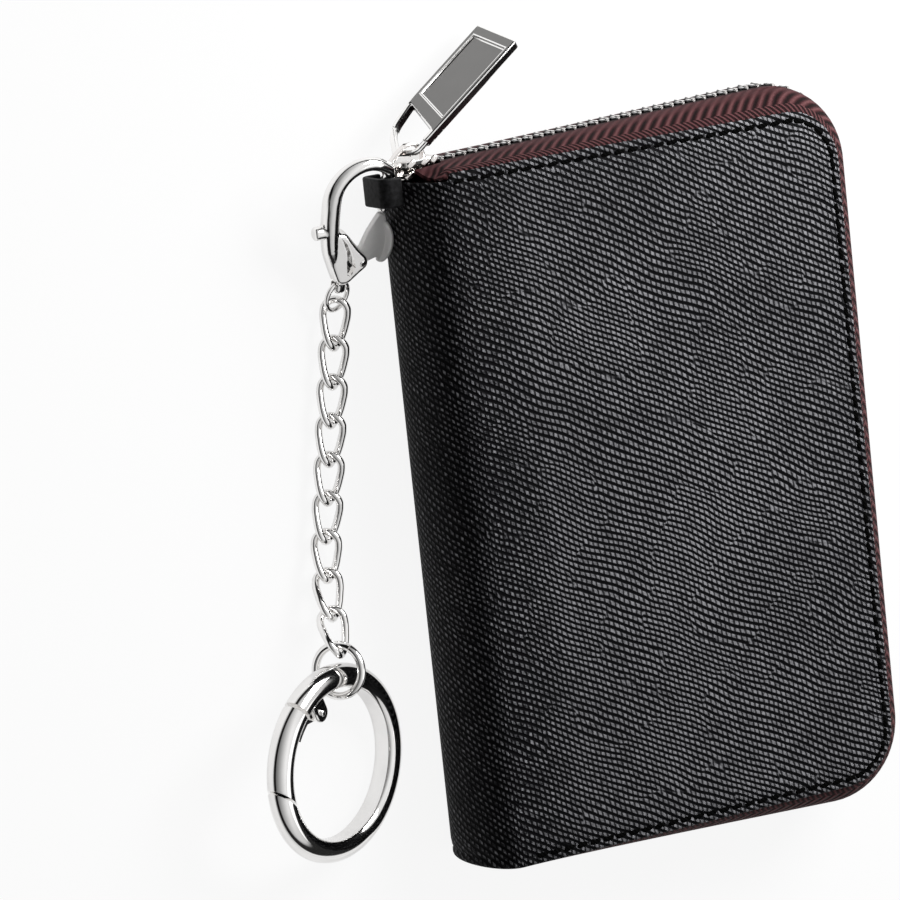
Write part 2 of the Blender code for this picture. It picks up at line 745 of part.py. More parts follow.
def hook_bar():
    """List the hook's middle line and thickness, from its foot to its tip."""
    stem = [(-0.0068, -0.0140, 0.60), (-0.0077, -0.0112, 0.80), (-0.0087, -0.0080, 0.95),
            (-0.0092, -0.0045, 1.00), (-0.0094, -0.0012, 1.00)]
    points = [Vector((x, y, 0.0)) for x, y, share in stem]
    radii = [HOOK_WIRE * share for x, y, share in stem]
    steps = 9
    start, end = math.radians(178), math.radians(40)
    for index, (x, y) in enumerate(arc(HOOK_CENTRE, HOOK_RADIUS, start, end, steps)):
        points.append(Vector((x, y, 0.0)))
        radii.append(HOOK_WIRE * (1.0 - 0.38 * index / steps))
    nose = [(0.0002, 0.0030, 0.58), (-0.0001, 0.0010, 0.56), (-0.0003, HOOK_TIP_Y, 0.52)]
    points += [Vector((x, y, 0.0)) for x, y, share in nose]
    radii += [HOOK_WIRE * share for x, y, share in nose]
    return points, radii


def make_clasp():
    """Cast clasp: a tapered hook on a forked plate, with a drilled foot for the ring."""
    frame = clasp_frame()
    points, radii = hook_bar()
    clasp = add_part("clasp_body", tube_mesh("clasp_body", points, radii), "polished_metal", frame)
    fork = [(-0.0095, -0.0078), (-0.0087, -0.0112), (-0.0075, -0.0141), (-0.0057, -0.0141),
            (-0.0040, -0.0123), (-0.0026, -0.0110), (-0.0028, -0.0094), (-0.0046, -0.0076),
            (-0.0066, -0.0050), (-0.0086, -0.0048)]
    plate_mesh = outline_mesh("clasp_fork", [fork], CLASP_PLATE / 2, 0.0003)
    combine(clasp, add_cutter("clasp_fork", plate_mesh, frame), "UNION")
    foot = box_mesh("clasp_foot", CLASP_EYE + Vector((-0.0009, -0.0015, -CLASP_PLATE / 2)),
                    CLASP_EYE + Vector((0.0009, 0.0012, CLASP_PLATE / 2)))
    combine(clasp, add_cutter("clasp_foot", foot, frame), "UNION")
    knob = cylinder_mesh("clasp_knob", KNOB_RADIUS, KNOB_LENGTH, 10)
    knob_frame = frame @ Matrix.Translation(KNOB_PLACE) @ Matrix.Rotation(math.pi / 2, 4, "Y")
    combine(clasp, add_cutter("clasp_knob", knob, knob_frame), "UNION")
    slot_half = TRIGGER / 2 + TRIGGER_CLEARANCE
    slot = box_mesh("clasp_slot", (-0.0064, -0.0126, -slot_half), (0.0030, -0.0040, slot_half))
    combine(clasp, add_cutter("clasp_slot", slot, frame), "DIFFERENCE")
    bore = cylinder_mesh("clasp_eye", EYE_RADIUS, 0.0060)
    bore_frame = frame @ Matrix.Translation(CLASP_EYE) @ Matrix.Rotation(math.pi / 2, 4, "Y")
    combine(clasp, add_cutter("clasp_eye", bore, bore_frame), "DIFFERENCE")
    pin_hole = cylinder_mesh("clasp_pin_hole", PIN_RADIUS + LAYER_GAP, 0.0060)
    combine(clasp, add_cutter("clasp_pin_hole", pin_hole, frame @ Matrix.Translation(TRIGGER_PIVOT)),
            "DIFFERENCE")
    return clasp


def make_trigger():
    """Gate of the clasp with its flared thumb plate, one stamped piece."""
    frame = clasp_frame()
    tip_y = HOOK_TIP_Y - TRIGGER_CLEARANCE
    around = arc(TRIGGER_PIVOT, 0.0013, math.radians(290), math.radians(140), 6)
    outline = [(-0.0008, tip_y), (0.0001, tip_y - 0.0003), (0.0004, -0.0040), (0.0009, -0.0056),
               (0.0012, -0.0078), (0.0013, -0.0100), (0.0010, -0.0117), (0.0004, -0.0116),
               (-0.0007, -0.0106), (-0.0020, -0.0110)] + around
    outline += [(-0.0036, -0.0084), (-0.0026, -0.0058), (-0.0016, -0.0040)]
    hole = arc(TRIGGER_PIVOT, PIN_RADIUS + LAYER_GAP, 0.0, math.radians(315), 7)
    mesh = outline_mesh("clasp_trigger", [outline, hole], TRIGGER / 2)
    return add_part("clasp_trigger", mesh, "polished_metal", frame)


def make_trigger_pin():
    """Rivet through the fork that the trigger turns on."""
    mesh = cylinder_mesh("trigger_pin", PIN_RADIUS, CLASP_PLATE + LAYER_GAP * 2)
    frame = clasp_frame() @ Matrix.Translation(TRIGGER_PIVOT)
    return add_part("trigger_pin", mesh, "polished_metal", frame)


def ring_points(radius, steps, start=0.0, end=2 * math.pi, closed=True):
    """List points round a ring, from its top, turning to its left."""
    count = steps if closed else steps + 1
    points = []
    for step in range(count):
        angle = start + (end - start) * step / steps
        points.append(Vector((-radius * math.sin(angle), radius * math.cos(angle), 0.0)))
    return points


def make_ring(name, radius, wire, steps, matrix, resolution=1):
    """Closed round wire ring."""
    points = ring_points(radius, steps)
    mesh = tube_mesh(name, points, [wire] * len(points), True, resolution)
    return add_part(name, mesh, "polished_metal", matrix)


def link_points():
    """List a twisted chain link's middle line, X across, Y along and Z up."""
    straight = LINK_HALF_LENGTH - LINK_HALF_WIDTH
    flat = []
    for sign in (1, -1):
        start = 0.0 if sign > 0 else math.pi
        flat += arc((0.0, sign * straight), LINK_HALF_WIDTH, start, start + math.pi, 7)
        flat.append((-sign * LINK_HALF_WIDTH, 0.0))
    points = []
    for across, along in flat:
        turn = LINK_TWIST * along / LINK_HALF_LENGTH
        points.append(Vector((across * math.cos(turn), along, across * math.sin(turn))))
    return points


def chain_frame(origin, rise=0.0):
    """Frame of a piece on the chain: Y points back up the chain, X across it."""
    back = Vector((math.sin(CHAIN_HEADING), math.cos(CHAIN_HEADING), 0.0))
    across = Vector((math.cos(CHAIN_HEADING), -math.sin(CHAIN_HEADING), 0.0))
    lift = Matrix.Rotation(-rise, 4, "X")
    return axes_matrix(origin, across, back) @ lift


def key_ring_height():
    """Give the height of the key ring's centre, its low limb on the table."""
    return KEY_RING_TUBE + KEY_RING_RADIUS * math.sin(KEY_RING_TILT)


def make_chain():
    """Jump ring, twisted links, end ring and key ring, each hung on the one before."""
    clasp = clasp_frame()
    ring_centre = CLASP_EYE - Vector((0.0, JUMP_RING_RADIUS, 0.0))
    ring_matrix = clasp @ Matrix.Translation(ring_centre) @ Matrix.Rotation(JUMP_RING_TURN, 4, "Y")
    ring = make_ring("jump_ring", JUMP_RING_RADIUS, JUMP_RING_WIRE, 16, ring_matrix)
    hanging = [(ring, clasp @ CLASP_EYE)]
    foot = clasp @ (ring_centre - Vector((0.0, JUMP_RING_RADIUS, 0.0)))
    hold = JUMP_RING_WIRE + LINK_WIRE + 1.5 * LINK_GAP
    climb = key_ring_height() - CHAIN_HEIGHT
    points = link_points()
    for index, share in enumerate(CHAIN_CLIMB):
        rise = math.asin(climb * share / (2 * LINK_HALF_LENGTH - hold))
        frame = chain_frame(foot, rise)
        contact = frame @ Vector((0.0, hold / 2, 0.0))
        centre = frame @ Vector((0.0, hold - LINK_HALF_LENGTH, 0.0))
        matrix = chain_frame(centre, rise)
        name = f"chain_link_{index + 1}"
        mesh = tube_mesh(name, points, [LINK_WIRE] * len(points), True, 1)
        hanging.append((add_part(name, mesh, "polished_metal", matrix), contact))
        foot = matrix @ Vector((0.0, -LINK_HALF_LENGTH, 0.0))
        hold = 2 * LINK_WIRE + LINK_GAP
    hold = LINK_WIRE + END_RING_WIRE + LINK_GAP
    frame = chain_frame(foot)
    centre = frame @ Vector((0.0, hold - END_RING_RADIUS, 0.0))
    end_matrix = chain_frame(centre) @ Matrix.Rotation(-END_RING_TILT, 4, "Y")
    end_ring = make_ring("end_ring", END_RING_RADIUS, END_RING_WIRE, 20, end_matrix)
    hanging.append((end_ring, frame @ Vector((0.0, hold / 2, 0.0))))
    foot = end_matrix @ Vector((0.0, -END_RING_RADIUS, 0.0))
    return hanging, foot


def key_ring_frame(foot):
    """Frame of the key ring, tilted about the chain, its low limb on the table."""
    hold = END_RING_WIRE + KEY_RING_TUBE + LINK_GAP
    centre = chain_frame(foot) @ Vector((0.0, hold - KEY_RING_RADIUS, 0.0))
    return chain_frame(centre) @ Matrix.Rotation(KEY_RING_TILT, 4, "Y")


def gate_pivot():
    """Give the gate's pin in the key ring's frame."""
    radius = KEY_RING_RADIUS - GATE_PIVOT_INSET
    return Vector((-radius * math.sin(GATE_PIVOT_ANGLE), radius * math.cos(GATE_PIVOT_ANGLE), 0.0))


def tube_arc(name, start, end, steps):
    """Part of the key ring's round bar between two angles from its top."""
    points = ring_points(KEY_RING_RADIUS, steps, start, end, False)
    return tube_mesh(name, points, [KEY_RING_TUBE] * len(points), False, 3)


def gate_nose():
    """Frame of the slanted cut at the gate's free end, X straight away from its pin."""
    end = ring_points(KEY_RING_RADIUS, 1, GATE_END, GATE_END + 1.0, False)[0]
    away = (end - gate_pivot()).normalized()
    return axes_matrix(end, away, (-away.y, away.x, 0.0))


def cut_nose(part, name, frame, low, high):
    """Cut a bar's end square to the line from the gate's pin."""
    size = 2.6 * KEY_RING_TUBE
    block = box_mesh(name, (low, -size, -size), (high, size, size))
    combine(part, add_cutter(name, block, frame @ gate_nose()), "DIFFERENCE")


def lug_outline(reach):
    """Outline of a round ear about the gate's pin, carried out to the ring's bar."""
    pivot = gate_pivot()
    outward = pivot.normalized()
    along = Vector((-outward.y, outward.x, 0.0))
    angle = math.atan2(outward.y, outward.x)
    ear = arc(pivot, LUG_RADIUS, angle + math.pi / 2, angle + 1.5 * math.pi, 6)
    root = pivot + outward * reach
    ends = [root - along * LUG_RADIUS, root + along * LUG_RADIUS]
    return ear + [(end.x, end.y) for end in ends]


def make_key_ring(frame):
    """Round bar of the key ring with a gap for the gate and a forked ear inside."""
    slit = GATE_SLIT / KEY_RING_RADIUS
    mesh = tube_arc("key_ring", GATE_END - NOSE_SPARE, GATE_START - slit + 2 * math.pi, 34)
    ring = add_part("key_ring", mesh, "polished_metal", frame)
    cut_nose(ring, "ring_nose_cut", frame, -2.6 * KEY_RING_TUBE, GATE_NOSE_GAP / 2)
    half = GATE_TONGUE / 2 + LAYER_GAP + LUG_WALL
    lug = outline_mesh("key_ring_lug", [lug_outline(GATE_PIVOT_INSET)], half)
    combine(ring, add_cutter("key_ring_lug", lug, frame), "UNION")
    slot_mesh = outline_mesh("key_ring_slot", [slot_outline()], GATE_TONGUE / 2 + LAYER_GAP)
    combine(ring, add_cutter("key_ring_slot", slot_mesh, frame), "DIFFERENCE")
    hole = cylinder_mesh("key_ring_pin_hole", PIN_RADIUS + LAYER_GAP, 4 * half)
    combine(ring, add_cutter("key_ring_pin_hole", hole, frame @ Matrix.Translation(gate_pivot())),
            "DIFFERENCE")
    return ring


def slot_outline():
    """Outline of the room that the gate's tongue turns in."""
    inner = KEY_RING_RADIUS - KEY_RING_TUBE
    start, end = GATE_PIVOT_ANGLE - 0.22, GATE_START + 0.1
    low = ring_points(inner - 0.0035, 6, start, end, False)
    high = ring_points(inner + LAYER_GAP, 6, start, end, False)
    return [(point.x, point.y) for point in low + high[::-1]]


def make_gate(frame):
    """Sprung gate of the key ring: its bar and the tongue that turns on the pin."""
    slit = GATE_SLIT / KEY_RING_RADIUS
    mesh = tube_arc("key_ring_gate", GATE_START + slit, GATE_END + NOSE_SPARE, 11)
    gate = add_part("key_ring_gate", mesh, "polished_metal", frame)
    cut_nose(gate, "gate_nose_cut", frame, -GATE_NOSE_GAP / 2, 2.6 * KEY_RING_TUBE)
    pivot = gate_pivot()
    inner = KEY_RING_RADIUS - KEY_RING_TUBE
    outward = pivot.normalized()
    angle = math.atan2(outward.y, outward.x)
    ear = arc(pivot, LUG_RADIUS - LAYER_GAP, angle - 0.1 * math.pi, angle - 1.2 * math.pi, 7)
    inner_side = ring_points(inner - 0.0010, 3, GATE_START, GATE_START + 0.30, False)
    outer_side = ring_points(inner + KEY_RING_TUBE, 2, GATE_START + 0.30, GATE_START + 0.08, False)
    shoulder = ring_points(inner - LAYER_GAP, 1, GATE_START + slit, GATE_PIVOT_ANGLE + 0.1, False)
    outline = ear + [(point.x, point.y) for point in inner_side + outer_side + shoulder]
    hole = arc(pivot, PIN_RADIUS + LAYER_GAP, 0.0, math.radians(315), 7)
    tongue = outline_mesh("gate_tongue", [outline, hole], GATE_TONGUE / 2)
    combine(gate, add_cutter("gate_tongue", tongue, frame), "UNION")
    return gate


def make_gate_pin(frame):
    """Rivet through the key ring's ear."""
    length = GATE_TONGUE + 4 * LAYER_GAP + 2 * LUG_WALL
    mesh = cylinder_mesh("gate_pin", PIN_RADIUS, length)
    return add_part("gate_pin", mesh, "polished_metal", frame @ Matrix.Translation(gate_pivot()))


def build():
    """Make every piece and hang the moving ones on their joints."""
    make_cover(BACK, "back_cover")
    make_board(BACK, "back_board")
    make_lining(BACK, "back_lining")
    make_spine()
    make_hang_loop()
    make_gusset(FRONT, "gusset_top")
    make_gusset(BACK, "gusset_bottom")
    slider_end = SLIDER_OVERHANG + SLIDER_LENGTH
    clear_of_slider = math.hypot(slider_end, slider_levels()[2]) + LAYER_GAP
    front_start = SPINE_X + clear_of_slider - TURN_X
    back_start = 2 * LAYER_GAP - SPINE_DEPTH
    make_tape(BACK, "back_zip_tape", back_start, LAST_TOOTH + LAYER_GAP + STOP_LENGTH)
    make_teeth(BACK, "back_zip_teeth", back_start, LAST_TOOTH)
    make_stop()

    hinge = add_pivot("cover_hinge", Vector((SPINE_X, 0.0, MIDDLE)))
    front = [make_cover(FRONT, "front_cover"), make_board(FRONT, "front_board"),
             make_lining(FRONT, "front_lining"),
             make_tape(FRONT, "front_zip_tape", front_start, LAST_TOOTH),
             make_teeth(FRONT, "front_zip_teeth", front_start, LAST_TOOTH)]
    hang_on(hinge, front)
    for index, leaf in enumerate(make_leaves()):
        leaf_hinge = add_pivot(f"leaf_hinge_{index + 1:02d}", Vector((SPINE_X, 0.0, MIDDLE)))
        hang_on(leaf_hinge, [leaf])

    slide = add_pivot("slider_run", slider_frame().translation)
    hang_on(slide, [make_slider()])
    swing = add_pivot("tab_swing", tab_pivot(), slide)
    hang_on(swing, [make_pull_tab()])

    clasp_pivot = add_pivot("clasp_hang", clasp_frame().translation)
    hang_on(clasp_pivot, [make_clasp(), make_trigger_pin()])
    trigger_pivot = add_pivot("trigger_turn", clasp_frame() @ TRIGGER_PIVOT, clasp_pivot)
    hang_on(trigger_pivot, [make_trigger()])
    above = clasp_pivot
    hanging, foot = make_chain()
    for part, contact in hanging:
        above = add_pivot(f"{part.name}_hang", contact, above)
        hang_on(above, [part])
    frame = key_ring_frame(foot)
    ring_pivot = add_pivot("key_ring_hang", foot, above)
    hang_on(ring_pivot, [make_key_ring(frame), make_gate_pin(frame)])
    gate_turn = add_pivot("gate_turn", frame @ gate_pivot(), ring_pivot)
    hang_on(gate_turn, [make_gate(frame)])


build()
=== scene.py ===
"""Zip card wallet with its clasp, chain and key ring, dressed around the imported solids."""
import math

import bpy
from mathutils import Matrix, Vector


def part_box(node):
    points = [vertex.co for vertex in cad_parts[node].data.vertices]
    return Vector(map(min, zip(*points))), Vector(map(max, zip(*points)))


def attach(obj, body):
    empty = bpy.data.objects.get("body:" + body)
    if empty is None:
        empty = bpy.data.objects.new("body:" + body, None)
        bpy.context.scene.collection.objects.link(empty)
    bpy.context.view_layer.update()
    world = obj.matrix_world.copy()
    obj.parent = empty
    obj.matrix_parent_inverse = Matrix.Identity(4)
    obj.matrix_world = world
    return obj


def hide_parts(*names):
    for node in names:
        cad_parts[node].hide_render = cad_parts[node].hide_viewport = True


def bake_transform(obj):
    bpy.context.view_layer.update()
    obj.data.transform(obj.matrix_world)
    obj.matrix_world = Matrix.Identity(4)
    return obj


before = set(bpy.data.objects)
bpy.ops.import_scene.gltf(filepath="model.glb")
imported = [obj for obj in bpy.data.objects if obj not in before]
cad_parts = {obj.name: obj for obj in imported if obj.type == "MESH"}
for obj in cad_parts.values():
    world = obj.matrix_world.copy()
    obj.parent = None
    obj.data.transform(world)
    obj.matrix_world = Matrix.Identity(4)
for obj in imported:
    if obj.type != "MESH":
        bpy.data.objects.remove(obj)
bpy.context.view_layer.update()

# Camera: a long lens over the spine's side of the front cover, with the picture turned a little,
# so that the wallet leans to the left as it was photographed.
VIEW_POINT = Vector((-0.0025, 0.0, 0.010))
VIEW_FROM_SPINE = math.radians(30.0)
VIEW_FROM_TOP_END = math.radians(11.0)
VIEW_ROLL = math.radians(-5.8)
VIEW_DISTANCE = 0.9
VIEW_LENS = 226.84
POINT_RIGHT_OF_CENTRE = 0.03262
POINT_BELOW_CENTRE = 0.00511

to_camera = Vector((-math.sin(VIEW_FROM_SPINE) * math.cos(VIEW_FROM_TOP_END), math.sin(VIEW_FROM_TOP_END),
                    math.cos(VIEW_FROM_SPINE) * math.cos(VIEW_FROM_TOP_END)))
level_right = Vector((0.0, 1.0, 0.0)).cross(to_camera).normalized()
level_up = to_camera.cross(level_right)
picture_right = math.cos(VIEW_ROLL) * level_right + math.sin(VIEW_ROLL) * level_up
picture_up = math.cos(VIEW_ROLL) * level_up - math.sin(VIEW_ROLL) * level_right
look = (-to_camera - POINT_RIGHT_OF_CENTRE * picture_right + POINT_BELOW_CENTRE * picture_up).normalized()
look_right = look.cross(picture_up).normalized()
bpy.ops.object.camera_add(location=VIEW_POINT + to_camera * VIEW_DISTANCE)
camera = bpy.context.object
camera.rotation_euler = Matrix((look_right, look_right.cross(look), -look)).transposed().to_euler()
camera.data.lens = VIEW_LENS
bpy.context.scene.camera = camera
bpy.context.scene.view_settings.view_transform = "Standard"

# Floor and light: a white table that still takes the wallet's shadow, two soft boxes, and a pale
# room with a dark band round it, which draws the stripes in the polished metal.
FLOOR_SIZE = 8.0
FLOOR_DROP = 0.0001
FLOOR_GLOW = 0.90
MIRRORED_SHARE = 0.7
ROOM_GREYS = ((0.0, 0.90), (0.09, 0.85), (0.13, 0.02), (0.36, 0.02), (0.44, 0.62), (1.0, 0.95))
SOFT_BOXES = (("key_box", (0.14, 0.17, 0.20), 0.18, 1.25), ("fill_box", (0.75, -0.35, 0.70), 0.60, 0.75))


def add_shape(primitive, name, **settings):
    """Add a primitive at its size and place, with nothing else selected, and name it."""
    bpy.ops.object.select_all(action="DESELECT")
    primitive(**settings)
    bpy.context.object.name = name
    return bpy.context.object


def add_node(tree, kind, inputs=None, **settings):
    """Add a shader node, with its settings, its input values and its links."""
    made = tree.nodes.new("ShaderNode" + kind)
    for name, value in settings.items():
        setattr(made, name, value)
    for name, value in (inputs or {}).items():
        if isinstance(value, bpy.types.NodeSocket):
            tree.links.new(value, made.inputs[name])
        else:
            made.inputs[name].default_value = value
    return made


def add_maths(tree, operation, first, second=0.0, third=0.0):
    """Add a Math node and give its output."""
    return add_node(tree, "Math", {0: first, 1: second, 2: third}, operation=operation).outputs[0]


def add_range(tree, value, low, high, first=0.0, last=1.0, curve="LINEAR"):
    """Carry a value from one range to another, held at both ends, and give it."""
    inputs = {"Value": value, "From Min": low, "From Max": high, "To Min": first, "To Max": last}
    return add_node(tree, "MapRange", inputs, interpolation_type=curve).outputs[0]


def add_ramp(tree, factor, stops):
    """Add a colour ramp with greys or colours at its stops and give its colour."""
    ramp = add_node(tree, "ValToRGB", {"Fac": factor})
    while len(ramp.color_ramp.elements) < len(stops):
        ramp.color_ramp.elements.new(1.0)
    for element, (place, colour) in zip(ramp.color_ramp.elements, stops):
        element.position = place
        element.color = (*colour, 1.0) if isinstance(colour, tuple) else (colour, colour, colour, 1.0)
    return ramp.outputs["Color"]


def new_material(name):
    """Start a material with nothing but its output node."""
    material = bpy.data.materials.new(name)
    material.use_nodes = True
    material.node_tree.nodes.clear()
    return material, material.node_tree, add_node(material.node_tree, "OutputMaterial").inputs["Surface"]


floor = add_shape(bpy.ops.mesh.primitive_plane_add, "floor", size=FLOOR_SIZE,
                  location=(0.0, 0.0, -FLOOR_DROP))
material, tree, surface = new_material("white_table")
rays = add_node(tree, "LightPath").outputs
mirrored = add_maths(tree, "MULTIPLY", rays["Is Glossy Ray"], MIRRORED_SHARE)
mirrored = add_maths(tree, "MAXIMUM", mirrored, rays["Is Transmission Ray"])
share = add_maths(tree, "MULTIPLY", add_maths(tree, "MAXIMUM", rays["Is Camera Ray"], mirrored), FLOOR_GLOW)
card = add_node(tree, "BsdfDiffuse", {"Color": (0.86, 0.86, 0.86, 1.0)}).outputs[0]
glow = add_node(tree, "Emission", {"Color": (1.0, 1.0, 1.0, 1.0), "Strength": 1.0}).outputs[0]
tree.links.new(add_node(tree, "MixShader", {0: share, 1: card, 2: glow}).outputs[0], surface)
floor.data.materials.append(material)

world = bpy.data.worlds.new("room")
world.use_nodes = True
bpy.context.scene.world = world
tree = world.node_tree
tree.nodes.clear()
toward = add_node(tree, "SeparateXYZ", {0: add_node(tree, "TexCoord").outputs["Generated"]}).outputs
spread = add_node(tree, "LightPath").outputs["Is Diffuse Ray"]
strength = add_maths(tree, "MULTIPLY", add_range(tree, toward["X"], -0.9, 0.2, 0.25, 1.0),
                     add_maths(tree, "MULTIPLY_ADD", spread, -0.5, 1.0))
sky = add_node(tree, "Background", {"Color": add_ramp(tree, toward["Z"], ROOM_GREYS), "Strength": strength})
tree.links.new(sky.outputs[0], add_node(tree, "OutputWorld").inputs["Surface"])

for name, place, size, power in SOFT_BOXES:
    bpy.ops.object.light_add(type="AREA", location=place)
    lamp = bpy.context.object
    lamp.name = name
    lamp.data.size = size
    lamp.data.energy = power
    lamp.rotation_euler = (-Vector(place)).to_track_quat("-Z", "Y").to_euler()

# Outer leather: one sheet of black cross-grained leather, folded round the spine, with its edges
# turned and a groove for the stitching a little way in from them.
COVER_WIDTH = 0.070
COVER_HEIGHT = 0.110
CORNER_RADIUS = 0.009
THICKNESS = 0.020
SPINE_DEPTH = 0.005
SPINE_DRAWN_IN = 0.0012
LEATHER = 0.001
MIDDLE = THICKNESS / 2
HALF_HEIGHT = COVER_HEIGHT / 2
MOUTH_X = COVER_WIDTH / 2
TURN_X = -COVER_WIDTH / 2
SPINE_X = TURN_X - SPINE_DEPTH
EDGE_ROUND = ((0.00008, 0.00020), (0.00017, 0.00016), (0.00025, 0.00008))
STITCH_INSET = 0.0014
GROOVE_HALF = 0.00042
GROOVE_DEPTH = 0.00020
PANEL_RISE = 0.00012
PANEL_SLOPE = 0.0010
SPINE_STEPS = 24
CUTS_BESIDE_BEND = (0.0012, 0.003)
GRAIN_SPREAD_ON_SPINE = 1.55
HAIR = 1e-5


def take(piece):
    """Go back to object mode, with only this piece selected."""
    if bpy.context.mode != "OBJECT":
        bpy.ops.object.mode_set(mode="OBJECT")
    bpy.ops.object.select_all(action="DESELECT")
    piece.select_set(True)
    bpy.context.view_layer.objects.active = piece


def pick(piece, kind="FACE", test=lambda *measures: True):
    """Open a piece in edit mode with all its points, edges or faces that pass a test selected."""
    take(piece)
    bpy.ops.object.mode_set(mode="EDIT")
    bpy.ops.mesh.select_mode(type=kind)
    bpy.ops.mesh.select_all(action="DESELECT")
    bpy.ops.object.mode_set(mode="OBJECT")
    points = piece.data.vertices
    if kind == "VERT":
        for point in points:
            point.select = test(point.co)
    if kind == "EDGE":
        for edge in piece.data.edges:
            edge.select = all(test(points[index].co) for index in edge.vertices)
    if kind == "FACE":
        for face in piece.data.polygons:
            face.select = test(face.center, face.normal)
    bpy.ops.object.mode_set(mode="EDIT")


def settle(piece, angle=40.0):
    """Close edit mode, put the piece's place into its mesh and shade it smooth."""
    take(piece)
    bpy.ops.object.transform_apply(location=True, rotation=True, scale=True)
    bpy.ops.object.shade_smooth_by_angle(angle=math.radians(angle))


def modify(piece, kind, **settings):
    """Add a modifier, set it and apply it."""
    take(piece)
    modifier = piece.modifiers.new(kind.lower(), kind)
    for name, value in settings.items():
        setattr(modifier, name, value)
    bpy.ops.object.modifier_apply(modifier=modifier.name)


def paint(piece, material):
    """Give a piece one material all over."""
    piece.data.materials.clear()
    piece.data.materials.append(material)


leather = add_shape(bpy.ops.mesh.primitive_plane_add, "outer_leather", size=1.0,
                    location=(0.0, 0.0, THICKNESS))
leather.scale = (COVER_WIDTH, COVER_HEIGHT, 1.0)
bpy.ops.object.transform_apply(location=True, rotation=True, scale=True)
pick(leather, "EDGE", lambda point: point.x < TURN_X + HAIR)
bpy.ops.mesh.spin(steps=SPINE_STEPS, angle=math.pi, center=(TURN_X, 0.0, MIDDLE), axis=(0.0, 1.0, 0.0))
bpy.ops.mesh.extrude_region_move(TRANSFORM_OT_translate={"value": (COVER_WIDTH, 0.0, 0.0)})
pick(leather, "VERT", lambda point: point.x < TURN_X - HAIR)
bpy.ops.transform.resize(value=(SPINE_DEPTH / MIDDLE, 1.0 - SPINE_DRAWN_IN / COVER_HEIGHT, 1.0),
                         center_override=(TURN_X, -HALF_HEIGHT, MIDDLE))
pick(leather, "VERT", lambda point: point.x > MOUTH_X - HAIR)
bpy.ops.mesh.bevel(offset=CORNER_RADIUS, segments=10, profile=0.5, affect="VERTICES")
bpy.ops.mesh.select_mode(type="FACE")
bpy.ops.mesh.select_all(action="SELECT")
edge_width = sum(width for width, depth in EDGE_ROUND)
edge_drop = sum(depth for width, depth in EDGE_ROUND)
edge_rings = (*EDGE_ROUND, (STITCH_INSET - GROOVE_HALF - edge_width, 0.0), (GROOVE_HALF, -GROOVE_DEPTH),
              (GROOVE_HALF, GROOVE_DEPTH), (PANEL_SLOPE, PANEL_RISE), (PANEL_SLOPE, 0.0))
for width, depth in edge_rings:
    bpy.ops.mesh.inset(thickness=width, depth=depth, use_boundary=True)
for past_bend in CUTS_BESIDE_BEND:
    bpy.ops.mesh.select_all(action="SELECT")
    bpy.ops.mesh.bisect(plane_co=(TURN_X + past_bend, 0.0, 0.0), plane_no=(1.0, 0.0, 0.0))
settle(leather)
proud = edge_drop + PANEL_RISE
for point in leather.data.vertices:
    above = point.co.z - MIDDLE
    if point.co.x > TURN_X + 1e-6:
        point.co.z = MIDDLE + math.copysign(min(abs(above) - proud, MIDDLE), above)
    else:
        point.co.z = MIDDLE + above * MIDDLE / (MIDDLE + proud)
        point.co.x = TURN_X + (point.co.x - TURN_X) * SPINE_DEPTH / (SPINE_DEPTH + proud)
modify(leather, "SOLIDIFY", thickness=LEATHER, offset=-1.0)
settle(leather, 50.0)


def round_the_spine(point):
    """Give how far a point lies from the middle of the spine, measured along the leather."""
    turned = SPINE_DEPTH * math.pi / 2 * GRAIN_SPREAD_ON_SPINE
    side = 1.0 if point.z > MIDDLE else -1.0
    if point.x > TURN_X:
        return side * (turned + point.x - TURN_X)
    angle = math.atan2(abs(point.z - MIDDLE) / MIDDLE, (TURN_X - point.x) / SPINE_DEPTH)
    return side * turned * angle / (math.pi / 2)


sheet = leather.data.uv_layers.active
for loop in leather.data.loops:
    point = leather.data.vertices[loop.vertex_index].co
    sheet.data[loop.index].uv = (round_the_spine(point), point.y)


def new_group(name, inputs, outputs):
    """Start a node group with float or vector inputs and float outputs."""
    group = bpy.data.node_groups.new(name, "ShaderNodeTree")
    for socket, value in inputs.items():
        kind = "NodeSocketVector" if value is None else "NodeSocketFloat"
        made = group.interface.new_socket(name=socket, in_out="INPUT", socket_type=kind)
        if value is not None:
            made.default_value = value
    for socket in outputs:
        group.interface.new_socket(name=socket, in_out="OUTPUT", socket_type="NodeSocketFloat")
    return group, group.nodes.new("NodeGroupInput").outputs, group.nodes.new("NodeGroupOutput").inputs


def add_noise(tree, place, scale, detail):
    """Add a noise over a place and give its grey."""
    return add_node(tree, "TexNoise", {"Vector": place, "Scale": scale, "Detail": detail}).outputs["Fac"]


def blend_values(tree, share, first, second):
    """Blend two values by a share and give the result."""
    return add_node(tree, "Mix", {0: share, 2: first, 3: second}, data_type="FLOAT").outputs[0]


def ridge(tree, turns):
    """Give a rounded ridge from 0 to 1 for each whole turn."""
    sine = add_maths(tree, "SINE", add_maths(tree, "MULTIPLY", turns, 2 * math.pi))
    return add_maths(tree, "MULTIPLY_ADD", sine, 0.5, 0.5)


def shade(tree, surface, colour, roughness, height, strength, distance, others):
    """Bump a height on a coloured shader and join it to the material's output."""
    bump = add_node(tree, "Bump", {"Height": height, "Strength": strength, "Distance": distance})
    inputs = {"Base Color": colour, "Roughness": roughness, "Normal": bump.outputs[0], **others}
    tree.links.new(add_node(tree, "BsdfPrincipled", inputs).outputs[0], surface)


